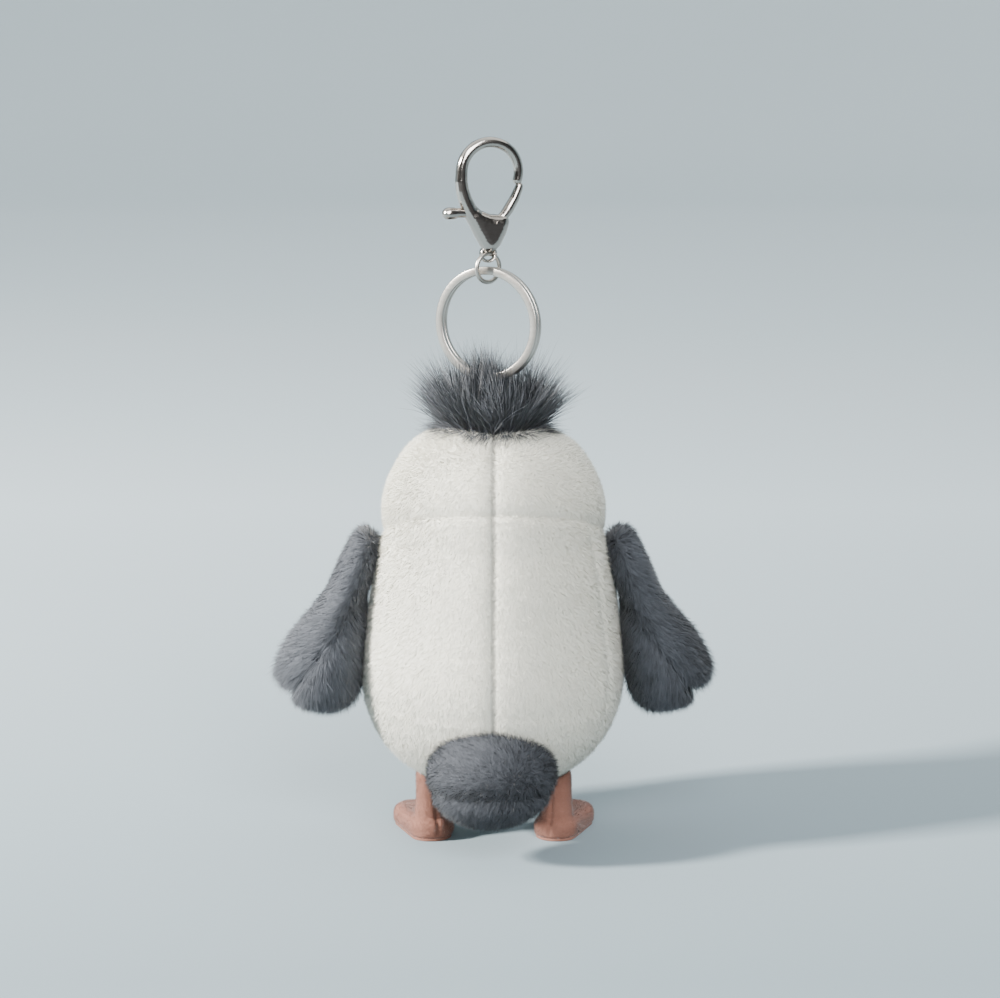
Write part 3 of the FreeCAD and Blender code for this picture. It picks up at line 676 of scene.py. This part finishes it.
# ------------------------------------------------------------------ wings and tail
class PENGUIN_OT_wings(Operator):
    """Two stuffed flippers, each of an outer and an inner panel"""
    bl_idname = "penguin.wings"
    bl_label = "Wings"

    def execute(self, context):
        values = sizes()
        backing = plush_backing("grey_backing", shade(values.grey, 0.7))
        hair = plush_hair("grey_hair", values.grey, 0.42, 1.75, 330.0, 0.75, 0.12)
        for index, (label, sign) in enumerate(SIDES):
            body = "wing_" + label
            outer, inner = body + "_outer_panel", body + "_inner_panel"
            centre = (middle(outer) + middle(inner)) / 2
            hinge = Vector(JOINT[body + "_lift"]["pos_m"])
            along = Vector((centre.x - hinge.x, 0, centre.z - hinge.z)).normalized()
            seam_turn = Matrix.Rotation(math.radians(-14.0 * sign), 3, "Y")
            seam_normal = (seam_turn @ Vector((along.z, 0, -along.x))).normalized() * -sign
            if seam_normal.x * sign < 0:
                seam_normal = -seam_normal
            turn = Matrix((Vector((0, 1, 0)).cross(-along), Vector((0, 1, 0)), -along)).transposed()
            skin = wrapped_ball(centre, [outer, inner], 96, 96, turn=turn, smooth=3)
            spots = vertex_array(skin.data)
            beyond = np.clip((spots - np.array(hinge)) @ np.array(along) - 38 * MM, 0, None)
            set_vertices(skin.data, spots - 0.42 * beyond[:, None] * np.array(along))
            seam_spot = centre + along * 4 * MM
            cut_along(skin, seam_spot, seam_normal)
            spots = vertex_array(skin.data)
            across = (spots - np.array(seam_spot)) @ np.array(seam_normal)
            down = (spots - np.array(hinge)) @ np.array(along)
            tip = np.clip((down - 30 * MM) / (20 * MM), 0, 1)
            amount = -(0.7 + 1.6 * tip) * MM * np.exp(-(across / ((1.6 + 0.8 * tip) * MM)) ** 2)
            amount += lumps(spots, 150.0, 21 + index) * 0.3 * MM
            amount += 1.0 * MM * np.clip((down - 18 * MM) / (14 * MM), 0, 1)
            push(skin, amount)

            def comb(places, normals, a=along, n=seam_normal, c=seam_spot):
                """The pile runs down the wing and away from the seam."""
                side = (places - np.array(c)) @ np.array(n)
                way = np.repeat(np.array(a)[None, :], len(places), axis=0)
                way = way + np.sign(side)[:, None] * np.array(n) * 0.55
                way[:, 1] += 0.3 * lumps(places, 160.0, 31)
                way[:, 2] += 0.3 * lumps(places, 160.0, 32)
                return way

            def fuller(places, h=hinge, a=along):
                drop = (places - np.array(h)) @ np.array(a)
                near_tip = np.clip((drop - 40 * MM) / (8 * MM), 0, 1)
                return np.clip(0.2 + drop / (32 * MM), 0.75, 1.5) * (1.0 - 0.5 * near_tip)

            for node, side in ((outer, 1), (inner, -1)):
                panel = panel_of(skin, node + "_cover", lambda s, d=side, n=seam_normal, c=seam_spot:
                                 (s - c).dot(n) * d > 0)
                pile = grow_pile(node + "_pile", panel, hairs(45000), values.grey_pile,
                                 values.hair_width * 1.15, comb, 0.5,
                                 values.seed + 40 + index * 2 + (side > 0), steps=2,
                                 jitter=0.35, length_at=fuller, locks=1500, gather=0.35)
                thicken(panel)
                finish_piece(panel, node + "_cover", body, backing, [node])
                finish_piece(pile, node + "_pile", body, hair)
            fill_of(skin, body + "_fill", body, body + "_stuffing")
        return {"FINISHED"}


def fill_of(skin, name, body, node):
    """The fibre fill: the cover's shape, set in by the cover's thickness and a little more."""
    push(skin, np.full(len(skin.data.vertices), -2.0 * MM))
    finish = Finish(name + "_fibre")
    cloud = finish.noise(380.0, 4.0)
    finish.set(Base_Color=finish.blend(cloud, (0.7, 0.7, 0.69), (0.9, 0.9, 0.89)), Roughness=0.95)
    finish.relief(cloud, 0.8 * MM)
    finish_piece(skin, name, body, finish.material, [node])
    return smooth_faces(skin)


class PENGUIN_OT_tail(Operator):
    """Stuffed tail of an upper and a lower panel"""
    bl_idname = "penguin.tail"
    bl_label = "Tail"

    def execute(self, context):
        values = sizes()
        nodes = ["tail_upper_panel", "tail_lower_panel"]
        centre = middle("tail_stuffing")
        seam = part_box("tail_lower_panel")[1][2]
        skin = wrapped_ball(centre, nodes, 96, 72, smooth=3)
        set_vertices(skin.data, vertex_array(skin.data) + np.array([0.7, 0.0, 2.2]) * MM)
        seam += 2.2 * MM
        cut_along(skin, Vector((0, 0, seam)), UP)
        spots = vertex_array(skin.data)
        rear = np.clip((spots[:, 1] - centre.y + 4 * MM) / (8 * MM), 0, 1)
        amount = -1.2 * MM * np.exp(-((spots[:, 2] - seam) / (1.5 * MM)) ** 2) * rear
        amount += lumps(spots, 170.0, 51) * 0.35 * MM + 0.2 * MM
        push(skin, amount)

        def comb(places, normals):
            """The pile runs backwards over the top and down over the lower panel."""
            way = np.zeros_like(places)
            way[:, 1] = 0.35
            way[:, 2] = np.clip((places[:, 2] - centre.z - 2 * MM) / (8 * MM), -1, 1)
            way[:, 0] = places[:, 0] * 70 + 0.25 + 0.35 * lumps(places, 190.0, 52)
            way[:, 2] += 0.35 * lumps(places, 190.0, 53)
            return way

        backing = plush_backing("tail_backing", shade(values.grey, 0.7))
        hair = plush_hair("tail_hair", shade(values.grey, 0.8), 0.35, 1.8, 420.0, 0.9, 0.1)
        for index, (node, keep) in enumerate((("tail_upper_panel", 1), ("tail_lower_panel", -1))):
            panel = panel_of(skin, node + "_cover", lambda s, k=keep: (s.z - seam) * k > 0)
            pile = grow_pile(node + "_pile", panel, hairs(48000 if keep > 0 else 36000),
                             values.grey_pile * 0.85, values.hair_width * 1.1, comb, 0.6,
                             values.seed + 60 + index, steps=2, jitter=0.45, locks=1400, gather=0.3)
            thicken(panel)
            finish_piece(panel, node + "_cover", "tail", backing, [node])
            finish_piece(pile, node + "_pile", "tail", hair)
        fill_of(skin, "tail_fill", "tail", "tail_stuffing")
        return {"FINISHED"}


# ------------------------------------------------------------------ legs, feet and face
def merged_copy(nodes, name):
    """One mesh of some CAD nodes, with its doubles merged."""
    mesh = bmesh.new()
    for node in nodes:
        mesh.from_mesh(frame["nodes"][node].data)
    bmesh.ops.remove_doubles(mesh, verts=mesh.verts[:], dist=1e-6)
    return object_from(mesh, name)


def melted(obj, voxel, smooth):
    """Runs separate solids into one skin and rounds its corners, as cast metal or sewn cloth has them."""
    remesh = obj.modifiers.new("melt", "REMESH")
    remesh.mode = "VOXEL"
    remesh.voxel_size = voxel
    even = obj.modifiers.new("even", "SMOOTH")
    even.factor = 0.5
    even.iterations = smooth
    apply_modifiers(obj)
    return smooth_faces(obj)


def suede(name, colour):
    """Short flocked cloth: small darker specks of painted shadow in the nap, over a soft uneven tone of its
    own.
    """
    finish = Finish(name)
    nap = finish.noise(2400.0, 3.0)
    tone = finish.noise(260.0, 3.0)
    # Painted shadow: the fine nap noise puts darker specks into the colour; the coarse tone noise is the
    # cloth's own uneven tone.
    speckle_shadow_and_tone = (nap * 0.75 + tone * 0.5 - 0.12).clipped()
    finish.set(Base_Color=finish.blend(speckle_shadow_and_tone, shade(colour, 0.66), shade(colour, 1.22)), Roughness=0.92,
               Sheen_Weight=0.1, Sheen_Roughness=0.5, Specular_IOR_Level=0.12)
    finish.relief(nap + tone * 0.5, 0.22 * MM, 0.8)
    return finish.material


class PENGUIN_OT_feet(Operator):
    """Sewn legs and feet of flocked cloth, with a heel seam and soles"""
    bl_idname = "penguin.feet"
    bl_label = "Legs and feet"

    def execute(self, context):
        values = sizes()
        cloth = suede("salmon_suede", values.salmon)
        nap = plush_hair("salmon_nap", values.salmon, 0.75, 1.2, 700.0, 0.5, 0.3)
        for index, (label, sign) in enumerate(SIDES):
            leg, foot, sole = "leg_" + label, "foot_" + label, "sole_" + label
            cover = melted(merged_copy([leg, foot], foot + "_cover"), 0.45 * MM, 10)
            heel = middle(leg)
            spots = vertex_array(cover.data)
            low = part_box(foot)[0][2]
            ankle = np.exp(-((spots[:, 2] - low - 5.5 * MM) / (3.0 * MM)) ** 2)
            toward_toe = np.clip((heel.y + 3 * MM - spots[:, 1]) / (8 * MM), 0, 1)
            seam_turn = math.radians(20.0) * sign
            behind = (spots[:, 0] - heel.x) * math.cos(seam_turn) \
                + (spots[:, 1] - heel.y) * math.sin(seam_turn)
            at_back = np.clip((spots[:, 1] - heel.y) / (2 * MM), 0, 1)
            amount = 0.5 * MM * ankle * (1 - toward_toe * 0.4)
            amount -= 0.45 * MM * np.exp(-(behind / (0.45 * MM)) ** 2) * at_back
            amount += lumps(spots, 420.0, 91 + index) * 0.12 * MM
            amount *= np.clip((spots[:, 2] - low - 0.3 * MM) / (1.2 * MM), 0, 1)
            push(cover, amount)
            finish_piece(cover, foot + "_cover", "torso", cloth, [leg, foot])
            fuzz = grow_pile(foot + "_nap", cover, hairs(26000), 0.55 * MM, 0.12 * MM, self.comb, 0.75,
                             values.seed + 90 + index, jitter=0.6)
            finish_piece(fuzz, foot + "_nap", "torso", nap)
            pad = melted(merged_copy([sole], sole + "_cover"), 0.2 * MM, 3)
            finish_piece(pad, sole + "_cover", "torso", cloth, [sole])
        return {"FINISHED"}

    @staticmethod
    def comb(places, normals):
        way = np.zeros_like(places)
        way[:, 2] = -1.0
        return way


class PENGUIN_OT_face(Operator):
    """Bead eyes and a short sewn beak"""
    bl_idname = "penguin.face"
    bl_label = "Face"

    def execute(self, context):
        values = sizes()
        gloss = Finish("black_bead")
        dust = gloss.noise(900.0, 2.0)
        gloss.set(Base_Color=gloss.blend(dust, (0.006, 0.006, 0.007), (0.012, 0.011, 0.011)),
                  Roughness=dust * 0.05 + 0.05, Coat_Weight=0.6)
        for label, _ in SIDES:
            node = "eye_" + label
            bead = melted(merged_copy([node], node + "_bead"), 0.22 * MM, 6)
            finish_piece(bead, node + "_bead", "torso", gloss.material, [node])
            washer = frame["nodes"]["eye_washer_" + label]
            plastic = Finish("washer_plastic_" + label)
            cloud = plastic.noise(500.0, 3.0)
            plastic.set(Base_Color=plastic.blend(cloud, (0.7, 0.7, 0.7), (0.8, 0.8, 0.79)), Roughness=0.5)
            washer.data.materials.clear()
            washer.data.materials.append(plastic.material)
        cloth = suede("beak_suede", shade(values.salmon, 1.05))
        for index, part in enumerate(("upper", "lower")):
            node = "beak_" + part
            cover = melted(merged_copy([node], node + "_cover"), 0.3 * MM, 6)
            push(cover, lumps(vertex_array(cover.data), 500.0, 95 + index) * 0.08 * MM)
            finish_piece(cover, node + "_cover", "torso", cloth, [node])
        return {"FINISHED"}


# ------------------------------------------------------------------ hang loop and hardware
def metal(name, colour, rough, brushed):
    """Nickel plate: a faint tarnish, fine wear and, on the ring, grinding lines along the band."""
    finish = Finish(name)
    tarnish = finish.noise(160.0, 4.0)
    lines = finish.noise(40.0, 2.0, where=finish.stretched((4.0, 4.0, 60.0)))
    scuffs = finish.noise(1500.0, 2.0)
    finish.set(Base_Color=finish.blend(tarnish, shade(colour, 0.9), shade(colour, 1.08)), Metallic=1.0,
               Roughness=(lines * 0.12 * brushed + scuffs * 0.06 + rough).clipped())
    finish.relief(lines * brushed + scuffs * 0.3, 0.01 * MM, 0.25)
    return finish.material


class PENGUIN_OT_hardware(Operator):
    """Split ring, jump ring, lobster clasp and the ribbon loop that holds them"""
    bl_idname = "penguin.hardware"
    bl_label = "Ring and clasp"

    def execute(self, context):
        values = sizes()
        ribbon = Finish("loop_ribbon")
        weave = ribbon.node("ShaderNodeTexWave", {"wave_type": "BANDS"}, output=1,
                            Vector=ribbon.place(), Scale=900.0, Distortion=0.4)
        ribbon.set(Base_Color=ribbon.blend(weave, shade(values.grey, 0.6), shade(values.grey, 1.0)),
                   Roughness=0.85)
        ribbon.relief(weave, 0.1 * MM)
        loop = melted(merged_copy(["hang_loop"], "hang_loop_ribbon"), 0.18 * MM, 4)
        finish_piece(loop, "hang_loop_ribbon", "torso", ribbon.material, ["hang_loop"])
        satin = metal("satin_nickel", (0.47, 0.44, 0.40), 0.24, 1.0)
        polished = metal("polished_nickel", (0.42, 0.385, 0.35), 0.14, 0.0)
        wire = melted(merged_copy(["jump_ring"], "jump_ring_wire"), 0.12 * MM, 2)
        finish_piece(wire, "jump_ring_wire", "link", satin, ["jump_ring"])
        self.clasp(polished)
        for node in ("gate_pin", "gate_spring"):
            pin = frame["nodes"][node]
            pin.data.materials.clear()
            pin.data.materials.append(polished)
        self.split_ring(satin)
        return {"FINISHED"}

    @staticmethod
    def clasp(material):
        """Clasp and gate as smooth castings. Places are millimetres in the clasp's own plane, sideways
        from its eye and up from it."""
        eye = Vector(JOINT["clasp_swing"]["pos_m"])
        side = Vector(JOINT["clasp_swing"]["axis"]).normalized()
        front = side.cross(UP)

        def balls(name, centres, voxel, smooth, thin=1.0):
            """One skin round many balls: rows of sideways, up, radius and offset to the front."""
            mesh = bmesh.new()
            for across, rise, radius, out in centres:
                ball = bmesh.ops.create_icosphere(mesh, subdivisions=2, radius=radius * MM)
                spot = eye + side * across * MM + UP * rise * MM + front * out * MM
                for vertex in ball["verts"]:
                    deep = vertex.co.dot(front)
                    vertex.co += spot + front * deep * (thin - 1.0)
            return melted(object_from(mesh, name), voxel * MM, smooth)

        def strand(points, step=0.3):
            """Balls along a smooth line through points of sideways, up, radius and offset."""
            points = np.array(points, dtype=float)
            steps = np.linalg.norm(np.diff(points[:, :2], axis=0), axis=1)
            lengths = np.concatenate([[0.0], np.cumsum(steps)])
            rows = []
            for at in np.arange(0.0, lengths[-1], step):
                rows.append([np.interp(at, lengths, points[:, column]) for column in range(4)])
            return rows

        centre, reach = (-0.5, 21.1), 7.75
        hook = []
        for turn in range(-16, 181, 6):
            angle = math.radians(turn)
            radius = 1.3 + 0.35 * (turn + 16) / 196
            hook.append((centre[0] - reach * math.cos(angle) * (1.02 if turn < 90 else 1.0),
                         centre[1] + reach * math.sin(angle), radius, 0.0))
        hook += [(7.35, 19.0, 1.72, 0), (7.0, 16.5, 1.8, 0), (6.2, 13.8, 1.95, 0), (5.0, 11.2, 2.1, 0),
                 (3.4, 8.6, 2.2, 0), (1.6, 5.6, 2.2, 0), (0.1, 2.6, 1.9, 0), (-0.3, 1.6, 1.6, 0)]
        shield = [(7.2, 12.5), (5.7, 8.5), (4.0, 5.0), (2.0, 1.6), (1.5, 0.2), (-1.5, 0.2), (-3.2, 1.8),
                  (-5.0, 5.2), (-5.9, 8.0), (-5.6, 9.6), (-4.4, 10.3), (-2.6, 10.2), (-0.4, 10.4),
                  (2.0, 11.4), (4.4, 13.6)]
        outline = np.array(shield)
        following = np.roll(outline, -1, axis=0)
        rows = strand(hook)
        for across in np.arange(-6.0, 7.4, 0.4):
            for rise in np.arange(0.2, 13.8, 0.4):
                spot = np.array([across, rise])
                edge = following - outline
                share = np.clip(((spot - outline) * edge).sum(axis=1) / (edge ** 2).sum(axis=1), 0, 1)
                gap = np.linalg.norm(outline + edge * share[:, None] - spot, axis=1).min()
                crossing = ((outline[:, 1] > rise) != (following[:, 1] > rise)) & \
                    (across < (following[:, 0] - outline[:, 0]) * (rise - outline[:, 1]) /
                     (following[:, 1] - outline[:, 1] + 1e-12) + outline[:, 0])
                if crossing.sum() % 2 and gap > 0.35:
                    rows.append((across, rise, min(gap, 2.3), 0.0))
        body = balls("clasp_casting", rows, 0.15, 8)
        eyelet = []
        for turn in range(0, 360, 12):
            angle = math.radians(turn)
            eyelet.append((1.95 * math.cos(angle), 1.95 * math.sin(angle), 0.5, 0.0))
        ring = balls("clasp_eyelet", eyelet, 0.12, 3, thin=2.2)
        finish_piece(body, "clasp_casting", "clasp", material, ["clasp_body"])
        finish_piece(ring, "clasp_eyelet", "clasp", material)
        lever = strand([(-2.4, 8.4, 1.0, 0), (-4.4, 9.8, 1.35, 0), (-5.6, 11.4, 1.45, 0),
                        (-7.2, 14.0, 1.35, 0), (-8.3, 16.4, 1.2, 0), (-8.7, 17.6, 1.05, 0)])
        lever += strand([(-2.4, 8.4, 0.8, 0), (2.0, 9.4, 0.9, 0), (5.5, 10.6, 1.2, 0),
                         (8.0, 10.8, 1.35, 0), (9.6, 10.7, 1.4, 0)])
        lever += strand([(9.4, 10.7, 1.6, 0), (10.6, 10.7, 1.7, 0), (11.2, 10.7, 1.6, 0)], 0.2)
        gate = balls("gate_lever_casting", lever, 0.13, 5)
        finish_piece(gate, "gate_lever_casting", "gate", material, ["gate_lever"])

    @staticmethod
    def split_ring(material):
        """Two flat coils of one wire, stepping from one to the other beside the free ends."""
        low, high = (Vector(corner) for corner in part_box("split_ring"))
        centre = (low + high) / 2
        outer = (high.z - low.z) / 2
        tangent = Vector(JOINT["key_ring_tilt"]["axis"]).normalized()
        across = tangent.cross(UP)
        band, coil = 2.1 * MM, 1.45 * MM
        steps, corner = 260, 0.34 * MM
        turns = 1.94
        outline = []
        for corner_x, corner_y, start in ((1, 1, 0), (-1, 1, 90), (-1, -1, 180), (1, -1, 270)):
            for step in range(4):
                angle = math.radians(start + step * 30)
                outline.append((corner_x * (band / 2 - corner) + corner * math.cos(angle),
                                corner_y * (coil / 2 - corner) + corner * math.sin(angle)))
        mesh = bmesh.new()
        rings = []
        for step in range(steps + 1):
            share = step / steps
            turn = math.radians(100) + share * turns * 2 * math.pi
            climb = min(1.0, max(0.0, (share - 0.5) * 14 + 0.5))
            climb = climb * climb * (3 - 2 * climb)
            offset = (climb - 0.5) * (coil + 0.1 * MM)
            radial = tangent * math.cos(turn) + UP * math.sin(turn)
            ring = [mesh.verts.new(centre + radial * (outer - band / 2 + x) + across * (offset + y))
                    for x, y in outline]
            rings.append(ring)
        for near, far in zip(rings, rings[1:]):
            for index in range(len(outline)):
                following = (index + 1) % len(outline)
                mesh.faces.new((near[index], near[following], far[following], far[index]))
        mesh.faces.new(rings[0])
        mesh.faces.new(list(reversed(rings[-1])))
        bmesh.ops.recalc_face_normals(mesh, faces=mesh.faces[:])
        piece = object_from(mesh, "split_ring_coils")
        activate(piece)
        bpy.ops.object.shade_smooth_by_angle(angle=math.radians(40))
        finish_piece(piece, "split_ring_coils", "key_ring", material, ["split_ring"])


# ------------------------------------------------------------------ stage
class PENGUIN_OT_stage(Operator):
    """Pale floor with a swept-up background, soft lights and the camera"""
    bl_idname = "penguin.stage"
    bl_label = "Stage"

    def execute(self, context):
        for leftover in ("Cube", "Light", "Camera"):
            if leftover in bpy.data.objects:
                bpy.data.objects.remove(bpy.data.objects[leftover])
        deselect_all()
        bpy.ops.mesh.primitive_plane_add(size=1.0, location=(0, 0, 0))
        floor = bpy.context.object
        self.sweep(floor)
        floor.name = "studio_floor"
        finish = Finish("studio_paper")
        grain = finish.noise(3.0, 2.0)
        # Painted light and shade: the one paper is painted lighter far back and much darker towards the
        # camera, in place of how the light falls across it; the grain is the paper's own.
        paper = finish.blend(finish.ramp_along("y", -2.0, -0.35), (0.58, 0.665, 0.705), (0.40, 0.465, 0.50))
        paper = finish.blend(finish.ramp_along("y", -0.5, 0.12), paper, (0.165, 0.207, 0.228))
        paper = finish.blend(grain * 0.08, paper, (0.3, 0.35, 0.38))
        finish.set(Base_Color=paper, Roughness=0.9,
                   Specular_IOR_Level=0.1)
        floor.data.materials.append(finish.material)
        self.flag(floor)
        context.scene.world = self.sky()
        self.light("key", (1.12, 0.40, 0.68), 0.16, 98.0, (1.0, 0.985, 0.95))
        self.light("fill", (-0.25, 1.3, 0.85), 0.9, 50.0, (0.97, 0.985, 1.0))
        self.camera(context)
        return {"FINISHED"}

    @staticmethod
    def flag(floor):
        """A dark cloth round the camera's side, seen only in the metal's reflections."""
        cloth = bpy.data.objects.new("dark_flag", floor.data.copy())
        bpy.context.scene.collection.objects.link(cloth)
        mesh = bmesh.new()
        mesh.from_mesh(cloth.data)
        pale = [face for face in mesh.faces if face.calc_center_median().y < 0.5]
        bmesh.ops.delete(mesh, geom=pale, context="FACES")
        bmesh.ops.scale(mesh, vec=(0.97, 0.97, 0.97), verts=mesh.verts[:])
        bmesh.ops.translate(mesh, vec=(0, 0, 0.01), verts=mesh.verts[:])
        mesh.to_mesh(cloth.data)
        mesh.free()
        finish = Finish("dark_cloth")
        finish.set(Base_Color=(0.04, 0.04, 0.043, 1.0), Roughness=1.0, Specular_IOR_Level=0.0)
        cloth.data.materials.clear()
        cloth.data.materials.append(finish.material)
        cloth.visible_camera = cloth.visible_diffuse = cloth.visible_shadow = False

    @staticmethod
    def sky():
        """Soft pale light from all round, dimmer from behind the camera."""
        world = bpy.data.worlds.new("studio")
        world.use_nodes = True
        tree = world.node_tree
        background = tree.nodes["Background"]
        background.inputs[0].default_value = (0.66, 0.695, 0.70, 1.0)
        place = tree.nodes.new("ShaderNodeTexCoord")
        toward = tree.nodes.new("ShaderNodeVectorMath")
        toward.operation = "DOT_PRODUCT"
        toward.inputs[1].default_value = (0.0, 0.96, 0.28)
        fade = tree.nodes.new("ShaderNodeMapRange")
        for socket, value in zip(fade.inputs[1:5], (0.1, 0.9, 2.6, 0.9)):
            socket.default_value = value
        tree.links.new(place.outputs["Generated"], toward.inputs[0])
        tree.links.new(toward.outputs["Value"], fade.inputs[0])
        tree.links.new(fade.outputs[0], background.inputs[1])
        return world

    @staticmethod
    def sweep(floor):
        """Shapes the paper: flat under the penguin, swept up in a wide curve all round."""
        half, radius, height = 2.2, 1.6, 3.2
        profile = [(0.0, 0.0), (half * 0.25, 0.0), (half * 0.5, 0.0), (half, 0.0)]
        profile += [(half + radius * math.sin(turn), radius * (1 - math.cos(turn)))
                    for turn in map(math.radians, range(6, 91, 6))]
        profile.append((half + radius, height))
        mesh = bmesh.new()
        columns = 96
        rows = [[mesh.verts.new((reach * math.cos(turn), reach * math.sin(turn), rise))
                 for turn in (2 * math.pi * column / columns for column in range(columns))]
                for reach, rise in profile[1:]]
        hub = mesh.verts.new((0, 0, 0))
        for column in range(columns):
            following = (column + 1) % columns
            mesh.faces.new((hub, rows[0][column], rows[0][following]))
            for near, far in zip(rows, rows[1:]):
                mesh.faces.new((near[column], far[column], far[following], near[following]))
        mesh.to_mesh(floor.data)
        mesh.free()
        smooth_faces(floor)

    @staticmethod
    def light(name, spot, size, power, colour):
        data = bpy.data.lights.new(name, "AREA")
        data.size = size
        data.energy = power
        data.color = colour
        lamp = bpy.data.objects.new(name, data)
        bpy.context.scene.collection.objects.link(lamp)
        lamp.location = spot
        lamp.rotation_euler = (Vector((0, 0, 0.06)) - Vector(spot)).to_track_quat("-Z", "Y").to_euler()

    @staticmethod
    def camera(context):
        """A long lens behind the penguin, a little above it."""
        elevation = math.radians(10.0)
        aim = Vector((-0.0017, 0.0, 0.0914))
        field = 0.2639
        lens = 110.0
        distance = field * lens / 36.0
        data = bpy.data.cameras.new("camera")
        data.lens = lens
        data.sensor_width = 36.0
        data.clip_end = 100.0
        camera = bpy.data.objects.new("camera", data)
        context.scene.collection.objects.link(camera)
        back = Vector((0.0, math.cos(elevation), math.sin(elevation)))
        camera.location = aim + back * distance
        camera.rotation_euler = (-back).to_track_quat("-Z", "Y").to_euler()
        context.scene.camera = camera


class PENGUIN_PT_sidebar(Panel):
    """Buttons for every step and the sizes that they use"""
    bl_idname = "PENGUIN_PT_sidebar"
    bl_label = "Plush penguin"
    bl_space_type = "VIEW_3D"
    bl_region_type = "UI"
    bl_category = "Penguin"

    def draw(self, context):
        for name in PenguinSizes.__annotations__:
            self.layout.prop(context.scene.penguin_sizes, name)
        for step in STEPS:
            self.layout.operator(step.bl_idname)


STEPS = [PENGUIN_OT_covers, PENGUIN_OT_wings, PENGUIN_OT_tail, PENGUIN_OT_feet, PENGUIN_OT_face,
         PENGUIN_OT_hardware, PENGUIN_OT_stage]
CLASSES = [PenguinSizes, *STEPS, PENGUIN_PT_sidebar]


def register():
    for item in CLASSES:
        bpy.utils.register_class(item)
    bpy.types.Scene.penguin_sizes = PointerProperty(type=PenguinSizes)


def unregister():
    del bpy.types.Scene.penguin_sizes
    for item in reversed(CLASSES):
        bpy.utils.unregister_class(item)


def main():
    """Registers the add-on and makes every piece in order."""
    register()
    for step in STEPS:
        getattr(bpy.ops.penguin, step.bl_idname.split(".")[1])()


if __name__ == "__main__":
    main()
